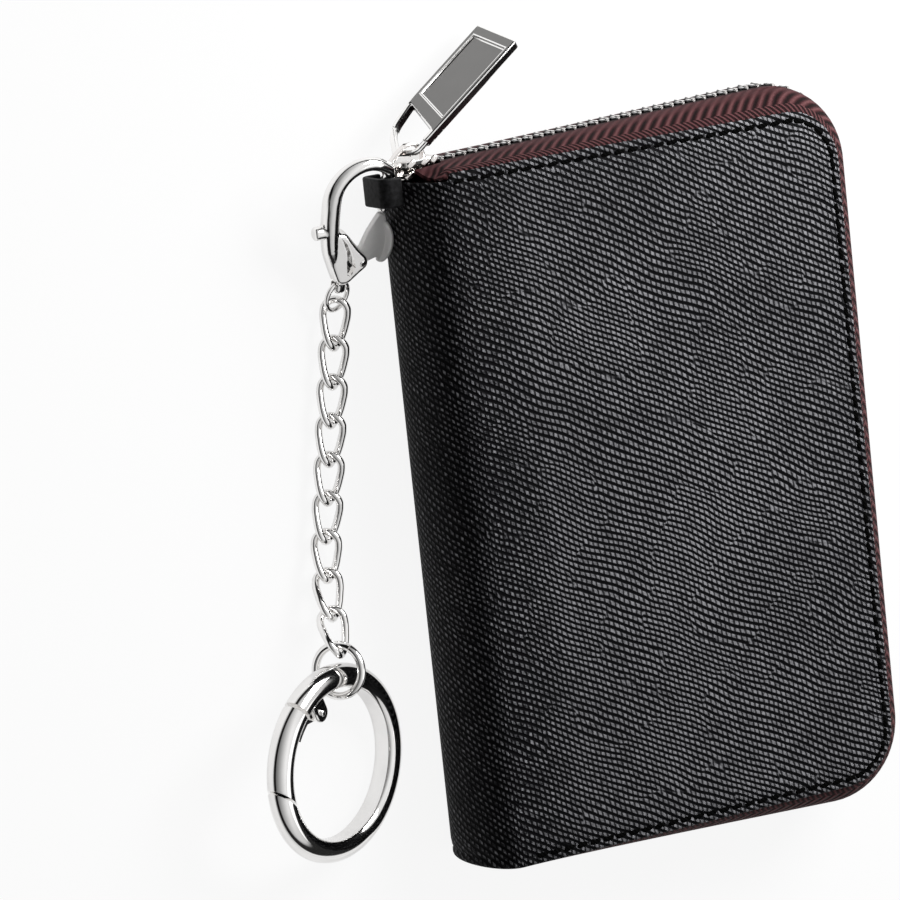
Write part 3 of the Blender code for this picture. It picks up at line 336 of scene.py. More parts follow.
# The cross grain: rows of pressed beads that run down to the right, widen, narrow and fork, cut by
# finer lines nearly upright. The grain is stretched where the sheet goes round the spine, and there its
# colour is darkened and its bead tops dulled: painted shade, where the sheet turns from the light.
grain, given, result = new_group(
    "cross_grain", {"Place": None, "Row Pitch": 0.00101, "Bead Pitch": 0.00085, "Row Slant": 0.50,
                    "Fork Slant": 0.47, "Cross Slant": 0.10, "Waviness": 0.0011},
    ("Height", "Bead"))
place = add_node(grain, "SeparateXYZ", {0: given["Place"]}).outputs


def wander(scale, share=1.0, offset=0.0):
    """Give a share of a soft noise about zero over the grain, past an offset."""
    centred = add_maths(grain, "SUBTRACT", add_noise(grain, given["Place"], scale, 1.0), 0.5)
    return add_maths(grain, "MULTIPLY_ADD", centred, share, offset)


def slanted(first, second, slant):
    """Give the distance across lines that lean by a slant."""
    leaning = add_maths(grain, "MULTIPLY", second, add_maths(grain, "SINE", slant))
    return add_maths(grain, "MULTIPLY_ADD", first, add_maths(grain, "COSINE", slant), leaning)


def wave(distance, pitch, off):
    """Give a ridge for each pitch, its lines drawn off by noise."""
    drawn = add_maths(grain, "MULTIPLY_ADD", off, given["Waviness"], distance)
    return ridge(grain, add_maths(grain, "DIVIDE", drawn, pitch))


def plateau(value, low, high):
    """Widen a ridge into a flat-topped one."""
    return add_range(grain, value, low, high, curve="SMOOTHSTEP")


drift = wander(50.0, 2.5, wander(280.0, 0.32))
rows = wave(slanted(place["Y"], place["X"], given["Row Slant"]), given["Row Pitch"], drift)
finer = add_maths(grain, "MULTIPLY", given["Row Pitch"], 0.84)
forked = wave(slanted(place["Y"], place["X"], given["Fork Slant"]), finer, drift)
row = blend_values(grain, plateau(wander(60.0), 0.02, 0.05), rows, forked)
jitter = wander(800.0, 0.30, wander(180.0, 0.6))
crossing = wave(slanted(place["X"], place["Y"], given["Cross Slant"]), given["Bead Pitch"], jitter)
crossing = add_maths(grain, "MULTIPLY_ADD", plateau(crossing, 0.0, 0.60), 0.64, 0.36)
bead = add_maths(grain, "MULTIPLY", plateau(row, 0.12, 0.74), crossing)
grain.links.new(bead, result["Height"])
grain.links.new(add_maths(grain, "MULTIPLY", bead, wander(1500.0, 1.2, 0.85)), result["Bead"])

black_leather, tree, surface = new_material("black_cross_grain_leather")
flat_map = add_node(tree, "TexCoord").outputs["UV"]
cross = add_node(tree, "Group", {"Place": flat_map}, node_tree=grain).outputs
broad = add_maths(tree, "MULTIPLY_ADD", add_noise(tree, flat_map, 28.0, 1.0), 0.7, 0.30)
tone = add_maths(tree, "MULTIPLY_ADD", add_noise(tree, flat_map, 230.0, 2.0), 0.55, broad)
from_spine = add_maths(tree, "ABSOLUTE", add_node(tree, "SeparateXYZ", {0: flat_map}).outputs["X"])
# Towards the spine the colour is darkened and the bead tops dulled: painted shade where the sheet turns from
# the light.
spine_painted_shade = add_range(tree, from_spine, 0.009, 0.026, 0.74, 1.0)
painted_bead_highlight = add_maths(tree, "POWER", cross["Bead"], add_range(tree, from_spine, 0.009, 0.024, 2.6, 1.0))
lit = add_maths(tree, "MULTIPLY", add_maths(tree, "MULTIPLY", painted_bead_highlight, tone), spine_painted_shade)
# The bead tops are painted light grey, a painted highlight standing in for their sheen, and the grooves
# between them near black, painted shade.
colour = add_ramp(tree, lit, ((0.0, (0.0010, 0.0010, 0.0014)), (0.28, (0.018, 0.018, 0.020)),
                              (1.0, (0.250, 0.250, 0.264))))
rough = add_maths(tree, "MULTIPLY_ADD", cross["Height"], -0.14, 0.58)
shade(tree, surface, colour, rough, cross["Height"], 0.9, 0.00020, {"Specular IOR Level": 0.035})
paint(leather, black_leather)
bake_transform(leather)
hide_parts("back_cover", "front_cover", "spine_leather")

# Stitching: black thread along both covers, a pace of 2.4 mm, lying in the groove from one end of
# the spine round the mouth to the other.
STITCH_PITCH = 0.0024
STITCH_LENGTH = 0.0019
STITCH_WIDTH = 0.00082
STITCH_LEAN = math.radians(10.0)
STITCH_HEIGHT = 0.00040
STITCH_SUNK = 0.00013
STRAIGHT = COVER_WIDTH - CORNER_RADIUS
QUARTER = CORNER_RADIUS * math.pi / 2
SIDE = COVER_HEIGHT - 2 * CORNER_RADIUS
ZIP_RUN = 2 * STRAIGHT + 2 * QUARTER + SIDE


def edge_station(run):
    """Give a point on the cover's edge and the way out from it, a run along from the slider's end."""
    if run > ZIP_RUN / 2:
        point, outward = edge_station(ZIP_RUN - run)
        return Vector((point.x, -point.y, 0.0)), Vector((outward.x, -outward.y, 0.0))
    if run < STRAIGHT:
        return Vector((TURN_X + run, HALF_HEIGHT, 0.0)), Vector((0.0, 1.0, 0.0))
    centre = Vector((MOUTH_X - CORNER_RADIUS, HALF_HEIGHT - CORNER_RADIUS, 0.0))
    if run < STRAIGHT + QUARTER:
        angle = math.pi / 2 - (run - STRAIGHT) / CORNER_RADIUS
        outward = Vector((math.cos(angle), math.sin(angle), 0.0))
        return centre + outward * CORNER_RADIUS, outward
    return Vector((MOUTH_X, centre.y - (run - STRAIGHT - QUARTER), 0.0)), Vector((1.0, 0.0, 0.0))


def axes(origin, x_axis, y_axis):
    """Give the frame with this origin and these two square axes."""
    x_axis = Vector(x_axis).normalized()
    y_axis = Vector(y_axis).normalized()
    turn = Matrix((x_axis, y_axis, x_axis.cross(y_axis))).transposed().to_4x4()
    return Matrix.Translation(origin) @ turn


def edge_frame(run, out, level):
    """Give the frame at a run of the edge, a way out from it: X along it, Y out of the wallet."""
    point, outward = edge_station(run)
    point = point + outward * out
    point.z = level
    return axes(point, (outward.y, -outward.x, 0.0), outward)


def copy_at(pattern, place):
    """Copy a pattern to a place, with a mesh of its own."""
    copy = pattern.copy()
    copy.data = pattern.data.copy()
    copy.data.transform(place)
    bpy.context.scene.collection.objects.link(copy)
    return copy


def join(pieces, name):
    """Join pieces into one object."""
    take(pieces[0])
    for piece in pieces:
        piece.select_set(True)
    bpy.ops.object.join()
    bpy.context.object.name = name
    return bpy.context.object


def repeat(pattern, name, places):
    """Copy a pattern to each place, join the copies into one piece and drop the pattern."""
    copies = [copy_at(pattern, place) for place in places]
    bpy.data.objects.remove(pattern, do_unlink=True)
    return join(copies, name)


def fit(piece, body, slot, *nodes):
    """Ride a piece on its body, in the stead of its nodes; the slot is not used."""
    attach(piece, body)
    if nodes:
        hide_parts(*nodes)


black_thread, tree, surface = new_material("black_thread")
object_place = add_node(tree, "TexCoord").outputs["Object"]
twist = add_node(tree, "TexWave", {"Vector": object_place, "Scale": 900.0, "Distortion": 0.4},
                 wave_type="BANDS", bands_direction="DIAGONAL").outputs["Fac"]
colour = add_ramp(tree, twist, ((0.0, 0.0004), (1.0, 0.003)))
shade(tree, surface, colour, 0.9, twist, 0.5, 0.00005, {"Specular IOR Level": 0.02})

for side, body, name in ((1, "front_half", "front_stitching"), (-1, "back_half", "back_stitching")):
    stitch = add_shape(bpy.ops.mesh.primitive_uv_sphere_add, "stitch", segments=8, ring_count=6, radius=0.5,
                       rotation=(0.0, math.pi / 2, 0.0))
    stitch.scale = (STITCH_HEIGHT, STITCH_WIDTH, STITCH_LENGTH / 2)
    settle(stitch)
    for end in (1, -1):
        pick(stitch, "VERT", lambda point, end=end: point.x * end > HAIR)
        bpy.ops.transform.translate(value=(end * STITCH_LENGTH / 4, 0.0, 0.0))
    settle(stitch, 80.0)
    level = MIDDLE + side * (MIDDLE - STITCH_SUNK)
    lean = Matrix.Rotation(STITCH_LEAN, 4, "Z")
    stitching = repeat(stitch, name, [edge_frame((index + 0.5) * STITCH_PITCH, -STITCH_INSET, level) @ lean
                                      for index in range(int(ZIP_RUN / STITCH_PITCH))])
    settle(stitching, 80.0)
    paint(stitching, black_thread)
    fit(stitching, body, "black_leather")

# Linings and boards: each cover is stiffened with a grey board, and faced inside with a smooth
# brown lining cloth that is glued down and stops a little way in from the cover's edge.
BOARD = 0.0007
LINING = 0.0005
LINING_MARGIN = 0.0012
LINING_ROUNDING = 0.00014
LAYER_GAP = 0.0003
LINING_LEVEL = LEATHER + BOARD + 2 * LAYER_GAP

weave, given, result = new_group("fine_weave", {"Place": None, "Pitch": 0.0004}, ("Height",))
place = add_node(weave, "SeparateXYZ", {0: given["Place"]}).outputs
turns = [add_maths(weave, "MULTIPLY", add_maths(weave, "DIVIDE", place[axis], given["Pitch"]), 2 * math.pi)
         for axis in ("X", "Y")]
over = add_maths(weave, "MULTIPLY", add_maths(weave, "SINE", turns[0]), add_maths(weave, "SINE", turns[1]))
weave.links.new(add_maths(weave, "MULTIPLY_ADD", over, 0.5, 0.5), result["Height"])


def cloth_material(name, dark, light, roughness):
    """Make a plain woven cloth between two colours."""
    material, tree, surface = new_material(name)
    place = add_node(tree, "TexCoord").outputs["Object"]
    threads = add_node(tree, "Group", {"Place": place}, node_tree=weave).outputs["Height"]
    patches = add_maths(tree, "MULTIPLY", add_noise(tree, place, 160.0, 4.0), 0.6)
    tone = add_maths(tree, "MULTIPLY_ADD", threads, 0.45, patches)
    colour = add_ramp(tree, tone, ((0.15, dark), (0.85, light)))
    shade(tree, surface, colour, roughness, threads, 0.5, 0.00006,
          {"Sheen Weight": 0.15, "Sheen Roughness": 0.5, "Specular IOR Level": 0.3})
    return material


brown_lining = cloth_material("brown_lining_cloth", (0.042, 0.018, 0.011), (0.125, 0.058, 0.036), 0.6)
grey_card = cloth_material("grey_board_card", (0.24, 0.22, 0.19), (0.38, 0.35, 0.31), 0.9)
for node in ("back_board", "front_board"):
    paint(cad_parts[node], grey_card)


def bevel(piece, width, segments=2, angle=35.0, smooth=40.0):
    """Break the edges of a piece that are sharper than an angle."""
    modify(piece, "BEVEL", width=width, segments=segments, limit_method="ANGLE",
           angle_limit=math.radians(angle))
    settle(piece, smooth)


def cut_sheet(name, low, high, radius, thickness, rounding):
    """Cut a flat sheet between two corners, round its corners and soften its edges."""
    middle = [(first + second) / 2 for first, second in zip(low, high)]
    sheet = add_shape(bpy.ops.mesh.primitive_plane_add, name, size=1.0, location=middle)
    sheet.scale = (high[0] - low[0], high[1] - low[1], 1.0)
    settle(sheet)
    pick(sheet, "VERT")
    bpy.ops.mesh.bevel(offset=radius, segments=6, profile=0.5, affect="VERTICES")
    settle(sheet)
    modify(sheet, "SOLIDIFY", thickness=thickness, offset=0.0)
    bevel(sheet, rounding, 2, 50.0)
    return sheet


for side, body, node in ((-1, "back_half", "back_lining"), (1, "front_half", "front_lining")):
    level = MIDDLE + side * (MIDDLE - LINING_LEVEL - LINING / 2)
    low = (TURN_X + LINING_MARGIN, LINING_MARGIN - HALF_HEIGHT, level)
    high = (MOUTH_X - LINING_MARGIN, HALF_HEIGHT - LINING_MARGIN, level)
    lining = cut_sheet(node + "_cloth", low, high, CORNER_RADIUS - LINING_MARGIN, LINING, LINING_ROUNDING)
    paint(lining, brown_lining)
    fit(lining, body, "brown_lining", node)

# Card leaves: twelve sheets of the lining cloth, each folded over at its open edge so that two
# neighbours make a card slot, and held at both ends by the pleats of the gussets.
LEAF_COUNT = 12
LEAF = 0.00025
LEAF_PITCH = 0.0005
LEAF_WIDTH = COVER_WIDTH - 0.0075
LEAF_HEIGHT = COVER_HEIGHT - 0.017
LEAF_CORNER = 0.003
LEAF_ROUNDING = 0.00003
LEAF_SPINE_GAP = 0.0015
HEM = 0.0016
HEM_RISE = 0.00008
leaf_low = TURN_X + LEAF_SPINE_GAP

for index in range(LEAF_COUNT):
    number = f"leaf_{index + 1:02d}"
    level = MIDDLE + (index - (LEAF_COUNT - 1) / 2) * LEAF_PITCH
    low = (leaf_low, -LEAF_HEIGHT / 2, level)
    high = (leaf_low + LEAF_WIDTH, LEAF_HEIGHT / 2, level)
    leaf = cut_sheet(f"card_{number}_cloth", low, high, LEAF_CORNER, LEAF - 2 * HEM_RISE, LEAF_ROUNDING)
    pick(leaf, "FACE", lambda centre, normal: abs(normal.z) > 0.9 and abs(centre.x) < MOUTH_X)
    bpy.ops.mesh.inset(thickness=HEM, depth=0.0)
    bpy.ops.mesh.inset(thickness=HEM_RISE, depth=HEM_RISE)
    settle(leaf, 30.0)
    paint(leaf, brown_lining)
    fit(leaf, number, "brown_lining", "card_" + number)

# Gussets: a strip of lining cloth folded into twelve pleats at each end of the leaves, glued to
# both linings. On the wallet it opens like a fan with the front cover; here it is drawn closed and
# hung on neither half.
GUSSET_DEPTH = 0.0034
GUSSET_FOLD = 0.0016
GUSSET_SHORTER = 0.0015
GUSSET_CLOTH = 0.00022
GUSSET_WAYS = 8
PLEAT_DEPTH = 1.6 * GUSSET_FOLD
gusset_low = LINING_LEVEL + LINING + LAYER_GAP
gusset_high = THICKNESS - gusset_low
gusset_outer = LEAF_HEIGHT / 2 + LAYER_GAP + GUSSET_DEPTH - GUSSET_CLOTH
gusset_length = LEAF_WIDTH - 2 * GUSSET_SHORTER - 2 * GUSSET_FOLD
for end, node in ((1, "gusset_top"), (-1, "gusset_bottom")):
    gusset = add_shape(bpy.ops.mesh.primitive_grid_add, node + "_pleats", x_subdivisions=10,
                       y_subdivisions=LEAF_COUNT * GUSSET_WAYS, size=1.0)
    for point in gusset.data.vertices:
        share = point.co.y + 0.5
        fold = 0.5 + 0.5 * math.cos(2 * math.pi * LEAF_COUNT * share)
        point.co = (leaf_low + LEAF_WIDTH / 2 + point.co.x * gusset_length,
                    end * (gusset_outer - PLEAT_DEPTH * fold),
                    gusset_low + (gusset_high - gusset_low) * share)
    modify(gusset, "SOLIDIFY", thickness=GUSSET_CLOTH, offset=0.0)
    settle(gusset, 60.0)
    paint(gusset, brown_lining)
    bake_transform(gusset)
    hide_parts(node)

# Zip tapes: two burgundy woven tapes sewn under the covers' edges, which bow out to the teeth and
# stand out further towards the mouth. Their rib is slanted, and finer beside the leather.
BULGE_AT_SPINE = 0.0004
BULGE_AT_MOUTH = 0.0040
TAPE = 0.0006
TAPE_SEAM = 0.005
TAPE_SEAM_ON_SPINE = 0.0009
TAPE_ROUNDNESS = 3.5
TAPE_REACH = MIDDLE - LEATHER - LAYER_GAP - TAPE / 2
TAPE_BEAD = 0.0016
TAPE_STEPS_ALONG = 240
TAPE_STEPS_ACROSS = 20
SEAM_SHARE = 0.25
SLIDER_CLEAR = 0.0078
SLIDER_FLANK = 0.0036
DRAWN_IN_ALONG = 0.0012
DRAWN_IN_ACROSS = 0.0024
FRONT_TAPE_SHORT = 0.0013
SHORT_ACROSS = 0.0015
LAST_TOOTH = ZIP_RUN - 0.0009
TAPE_PAST_TEETH = 0.0023


def bulge(run):
    """Give how far the zip stands out past the cover's edge."""
    near = min(run, ZIP_RUN - run)
    share = min(1.0, (near + SPINE_DEPTH) / (STRAIGHT + QUARTER + SPINE_DEPTH))
    return BULGE_AT_SPINE + (BULGE_AT_MOUTH - BULGE_AT_SPINE) * share


def tape_place(run, share, side):
    """Place a point of the tape by its run and its share of the way from the seam to the teeth."""
    point, outward = edge_station(run)
    if share < SEAM_SHARE:
        sewn = TAPE_SEAM if 0.0 <= run <= ZIP_RUN else TAPE_SEAM_ON_SPINE
        out = sewn * (share / SEAM_SHARE - 1.0)
        rise = TAPE_REACH
    else:
        rise = TAPE_REACH - (TAPE_REACH - TAPE_BEAD) * (share - SEAM_SHARE) / (1.0 - SEAM_SHARE)
        out = bulge(run) * (1.0 - (rise / TAPE_REACH) ** TAPE_ROUNDNESS)
    if run < 0.0:
        past_slider = min(1.0, max(0.0, (rise - SLIDER_FLANK) / DRAWN_IN_ACROSS))
        out -= SPINE_DRAWN_IN * min(1.0, -run / DRAWN_IN_ALONG) * past_slider
    flat = point + outward * out
    return Vector((flat.x, flat.y, MIDDLE + side * rise)), rise


ribs, given, result = new_group("slanted_ribs", {"Run": 0.0, "Share": 0.0, "Rib Pitch": 0.0019},
                                ("Height", "Painted Rib Shade"))
near_teeth = add_maths(ribs, "GREATER_THAN", given["Share"], 0.34)
lean = add_maths(ribs, "MULTIPLY", given["Share"], 0.0105)
bold = add_maths(ribs, "DIVIDE", add_maths(ribs, "SUBTRACT", given["Run"], lean), given["Rib Pitch"])
fine = add_maths(ribs, "DIVIDE", add_maths(ribs, "ADD", given["Run"], lean),
                 add_maths(ribs, "MULTIPLY", given["Rib Pitch"], 0.5))
chosen = blend_values(ribs, near_teeth, ridge(ribs, fine), ridge(ribs, bold))
chosen = blend_values(ribs, add_range(ribs, given["Share"], 0.50, 0.63, 0.0, 0.75), chosen, 0.72)
ribs.links.new(chosen, result["Height"])
# The ribs are painted darker in their grooves than on their crests, painted shade, and near the teeth the
# colour fades to near black, painted shade between the teeth.
painted_rib_shade = add_maths(ribs, "MULTIPLY", add_maths(ribs, "POWER", chosen, 1.3),
                   add_range(ribs, given["Share"], 0.86, 0.96, 1.0, 0.05))
ribs.links.new(painted_rib_shade, result["Painted Rib Shade"])

burgundy_tape, tree, surface = new_material("burgundy_zip_tape")
flat_map = add_node(tree, "TexCoord").outputs["UV"]
measure = add_node(tree, "SeparateXYZ", {0: flat_map}).outputs
twill = add_node(tree, "Group", {"Run": measure["X"], "Share": measure["Y"]}, node_tree=ribs).outputs
fibre = add_maths(tree, "MULTIPLY", add_noise(tree, flat_map, 1400.0, 3.0), 0.25)
tone = add_maths(tree, "MULTIPLY_ADD", twill["Painted Rib Shade"], 0.75, fibre)
colour = add_ramp(tree, tone, ((0.14, (0.005, 0.0010, 0.0012)), (0.50, (0.042, 0.012, 0.014)),
                               (0.95, (0.112, 0.044, 0.046))))
shade(tree, surface, colour, 0.72, twill["Height"], 0.7, 0.00022, {"Specular IOR Level": 0.10})

for side, body, node in ((-1, "back_half", "back_zip_tape"), (1, "front_half", "front_zip_tape")):
    tape = add_shape(bpy.ops.mesh.primitive_grid_add, node + "_woven", x_subdivisions=TAPE_STEPS_ALONG,
                     y_subdivisions=TAPE_STEPS_ACROSS, size=1.0)
    sheet = tape.data.uv_layers.active
    stations = []
    for point in tape.data.vertices:
        share = point.co.y + 0.5
        rise = tape_place(0.0, share, side)[1]
        inside = SPINE_DEPTH * math.sqrt(1.0 - ((rise + LEATHER + TAPE / 2) / MIDDLE) ** 2)
        if share < SEAM_SHARE:
            inside = 0.0
        first = -inside
        last = LAST_TOOTH if side > 0 else min(LAST_TOOTH + TAPE_PAST_TEETH, ZIP_RUN + inside)
        if side > 0 and rise < SLIDER_FLANK:
            first = max(first, math.sqrt(SLIDER_CLEAR ** 2 - rise ** 2) - SPINE_DEPTH)
        elif side > 0:
            first += FRONT_TAPE_SHORT * min(1.0, (TAPE_REACH - rise) / SHORT_ACROSS)
        stations.append((first + (last - first) * (point.co.x + 0.5), share))
    for point, (run, share) in zip(tape.data.vertices, stations):
        point.co = tape_place(run, share, side)[0]
    for loop in tape.data.loops:
        sheet.data[loop.index].uv = stations[loop.vertex_index]
    modify(tape, "SOLIDIFY", thickness=TAPE, offset=0.0)
    pick(tape)
    bpy.ops.mesh.normals_make_consistent(inside=False)
    settle(tape, 60.0)
    paint(tape, burgundy_tape)
    fit(tape, body, "zip_tape", node)

# Zip teeth: plated metal teeth crimped on the tapes' beads, one row a half pace behind the other,
# so that their heads lock. Each has a wide head, a waisted neck and a foot on the bead, and its sides
# are painted near black: painted shade between the teeth.
TOOTH_PACE = 0.0020
TOOTH_WIDTH = 0.00092
TOOTH_DEPTH = 0.00115
TOOTH_FOOT = 0.0021
TOOTH_HEAD = 0.00030
TOOTH_NECK = 0.45 * TOOTH_FOOT
TOOTH_FOOT_SHAPE = (0.70, 1.15, 1.0)
TOOTH_NECK_SHAPE = (0.72, 0.92, 1.0)
TOOTH_BEVEL = 0.00016
TEETH_FROM_SPINE = 0.0007

wear, given, result = new_group("worn_plate", {"Place": None, "Turn": 0.0}, ("Cloud", "Scratch"))
turned = add_node(wear, "VectorRotate", {"Vector": given["Place"], "Angle": given["Turn"]}).outputs[0]
drawn_out = add_node(wear, "Mapping", {"Vector": turned, "Scale": (300.0, 4200.0, 4200.0)}).outputs[0]
wear.links.new(add_noise(wear, given["Place"], 220.0, 4.0), result["Cloud"])
wear.links.new(add_noise(wear, drawn_out, 1.0, 2.0), result["Scratch"])


def metal_material(name, colour, roughness, worn, scratches=0.5, grain_turn=0.0, metallic=1.0):
    """Make plated metal with fine scratches and slightly uneven gloss."""
    material, tree, surface = new_material(name)
    place = add_node(tree, "TexCoord").outputs["Object"]
    marks = add_node(tree, "Group", {"Place": place, "Turn": grain_turn}, node_tree=wear).outputs
    gloss = add_maths(tree, "MULTIPLY_ADD", marks["Cloud"], worn, roughness - worn / 2)
    tint = add_ramp(tree, marks["Cloud"], ((0.3, tuple(0.93 * part for part in colour)), (0.7, colour)))
    shade(tree, surface, tint, gloss, marks["Scratch"], scratches, 0.000004, {"Metallic": metallic})
    return material


zip_metal = metal_material("plated_zip_metal", (0.88, 0.85, 0.83), 0.13, 0.06)
polished_metal = metal_material("polished_plate", (0.93, 0.92, 0.91), 0.07, 0.04, 0.3)
satin_metal = metal_material("satin_plate", (0.225, 0.222, 0.218), 0.36, 0.06, 0.8, 0.9)
# A near-black plate: painted shade on the teeth's sides and the slider's flank walls, and a painted dark
# reflection on the tab's side walls.
painted_shade_and_reflection = metal_material("painted_shade_and_reflection_metal", (0.10, 0.10, 0.10), 0.16, 0.06, 0.3)


def even_out(piece):
    """Merge doubled points and turn every face outwards."""
    pick(piece, "VERT")
    bpy.ops.mesh.remove_doubles(threshold=0.000001)
    bpy.ops.mesh.normals_make_consistent(inside=False)


for side, body, node in ((-1, "back_half", "back_zip_teeth"), (1, "front_half", "front_zip_teeth")):
    tooth = add_shape(bpy.ops.mesh.primitive_cube_add, "tooth", size=1.0,
                      location=(0.0, 0.0, (TOOTH_FOOT - TOOTH_HEAD) / 2))
    tooth.scale = (TOOTH_WIDTH, TOOTH_DEPTH, TOOTH_FOOT + TOOTH_HEAD)
    settle(tooth)
    pick(tooth)
    bpy.ops.mesh.bisect(plane_co=(0.0, 0.0, TOOTH_NECK), plane_no=(0.0, 0.0, 1.0))
    pick(tooth, "VERT", lambda point: point.z > 0.9 * TOOTH_FOOT)
    bpy.ops.transform.resize(value=TOOTH_FOOT_SHAPE, center_override=(0.0, 0.0, TOOTH_FOOT))
    pick(tooth, "VERT", lambda point: abs(point.z - TOOTH_NECK) < 0.0001)
    bpy.ops.transform.resize(value=TOOTH_NECK_SHAPE, center_override=(0.0, 0.0, TOOTH_NECK))
    bevel(tooth, TOOTH_BEVEL, 1, 40.0, 50.0)
    paint(tooth, zip_metal)
    tooth.data.materials.append(painted_shade_and_reflection)
    # The sides that face the next teeth are painted near black: painted shade between the teeth.
    for face in tooth.data.polygons:
        face.material_index = int(abs(face.normal.x) > 0.6)
    first = (TEETH_FROM_SPINE if side < 0 else SLIDER_CLEAR) - SPINE_DEPTH
    offset = 0.0 if side < 0 else TOOTH_PACE / 2
    first_index = math.ceil((first - offset) / TOOTH_PACE)
    last_index = math.floor((LAST_TOOTH - TOOTH_WIDTH / 2 - offset) / TOOTH_PACE)
    runs = [index * TOOTH_PACE + offset for index in range(first_index, last_index + 1)]
    upright = Matrix.Diagonal((1.0, 1.0, side, 1.0))
    teeth = repeat(tooth, node + "_row", [edge_frame(run, bulge(run), MIDDLE) @ upright for run in runs])
    even_out(teeth)
    settle(teeth, 50.0)
    fit(teeth, body, "zip_metal", node)

# Bottom stop: a small plated clamp pressed over the last teeth at the foot of the spine, with a
# shallow dish pressed into its outer face.
STOP_RIM = 0.00022
STOP_DISH = 0.00010
STOP_BEVEL = 0.00012
stop_low, stop_high = (Vector(corner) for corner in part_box("zip_bottom_stop"))
stop = add_shape(bpy.ops.mesh.primitive_cube_add, "zip_bottom_stop_clamp", size=1.0,
                 location=(stop_low + stop_high) / 2)
stop.scale = stop_high - stop_low
settle(stop)
pick(stop, "FACE", lambda centre, normal: normal.y < -0.9)
bpy.ops.mesh.inset(thickness=STOP_RIM, depth=-STOP_DISH)
bevel(stop, STOP_BEVEL, 2, 40.0)
paint(stop, zip_metal)
fit(stop, "back_half", "zip_metal", "zip_bottom_stop")

# Slider: a die-cast body that runs on the teeth. Two shouldered plates are joined by a wedge, their
# flanges are fluted, and a strap rises from the shoulders over the upper plate to hold the tab.
SLIDER_LENGTH = 0.0068
SLIDER_OVERHANG = 0.0001
SLIDER_INSIDE = 0.00075
SLIDER_OUTSIDE = 0.00135
SLIDER_HALF_WIDTH = 0.00295
SLIDER_GROOVE = 0.00235
SLIDER_LIP = 0.00042
SLIDER_BEVEL = 0.00018
SLIDER_PLAN = ((-0.0034, 0.0009), (-0.0030, 0.0022), (-0.0022, SLIDER_HALF_WIDTH),
               (0.0016, SLIDER_HALF_WIDTH), (0.0029, 0.0026), (0.0034, 0.0018))
WEDGE_SPARE = 0.0002
WEDGE_PLAN = ((-0.0031, 0.0), (-0.0027, 0.0003), (-0.0014, 0.0))
FLUTES = ((-0.0027, 34.0), (-0.0004, 31.0), (0.0016, 42.0))
FLUTE_WIDTH = 0.00082
FLUTE_STAND = 0.00034
FLUTE_SUNK = 0.0001
FLUTE_SHARE = 0.94
FLUTE_BEVEL = 0.00016
STRAP_PATH = ((-0.0033, 0.0011), (-0.0032, 0.0016), (-0.0024, 0.0023), (-0.0014, 0.0030), (-0.0005, 0.00345),
              (0.0005, 0.0035), (0.0014, 0.0032), (0.0020, 0.0025), (0.0022, 0.0018), (0.0022, 0.0011))
STRAP_WIDTH = 0.0012
STRAP_THICKNESS = 0.00055
HERE = Matrix.Identity(4)


def along_zip(x):
    """Give the frame on the straight top edge: X along the teeth, Y out of the wallet, Z up."""
    rise = (BULGE_AT_MOUTH - BULGE_AT_SPINE) / (STRAIGHT + QUARTER + SPINE_DEPTH)
    along = Vector((1.0, rise, 0.0)).normalized()
    return axes((x, HALF_HEIGHT + bulge(x - TURN_X), MIDDLE), along, (-along.y, along.x, 0.0))


def stand(piece, place, angle=40.0):
    """Put a piece in its place, in object mode and shaded smooth."""
    take(piece)
    piece.matrix_world = place
    settle(piece, angle)
    return piece


def flat_plate(name, outline, thickness, place=HERE):
    """Cut a plate to an outline, its middle level on the place's own floor."""
    plate = add_shape(bpy.ops.mesh.primitive_circle_add, name, vertices=len(outline), radius=0.01,
                      fill_type="NGON")
    for point, (x, y) in zip(plate.data.vertices, outline):
        point.co = (x, y, -thickness / 2)
    pick(plate)
    bpy.ops.mesh.extrude_region_move(TRANSFORM_OT_translate={"value": (0.0, 0.0, thickness)})
    even_out(plate)
    return stand(plate, place)


def block(name, low, high, place=HERE):
    """Saw a block between two corners."""
    outline = [(low[0], low[1]), (high[0], low[1]), (high[0], high[1]), (low[0], high[1])]
    middle = Matrix.Translation((0.0, 0.0, (low[2] + high[2]) / 2))
    return flat_plate(name, outline, high[2] - low[2], place @ middle)


def cut(piece, tool, operation="DIFFERENCE"):
    """Cut a tool's shape out of a piece and drop the tool."""
    modify(piece, "BOOLEAN", operation=operation, object=tool, solver="EXACT")
    bpy.data.objects.remove(tool, do_unlink=True)


def weld(piece, other):
    """Make one solid of two pieces that meet."""
    cut(piece, other, "UNION")


def strap(name, path, width, thickness, place):
    """Bend a flat strap along a path, its width across the path's plane."""
    band = add_shape(bpy.ops.mesh.primitive_grid_add, name, x_subdivisions=len(path) - 1, y_subdivisions=2,
                     size=1.0)
    for point in band.data.vertices:
        x, y = path[round((point.co.x + 0.5) * (len(path) - 1))]
        point.co = (x, y, point.co.y * width)
    modify(band, "SOLIDIFY", thickness=thickness, offset=0.0)
    even_out(band)
    stand(band, place)
    bevel(band, thickness * 0.3, 2, 50.0)
    return band


def both_sides(outline):
    """Mirror an outline's upper half to its lower half."""
    return list(outline) + [(x, -y) for x, y in reversed(outline) if y]


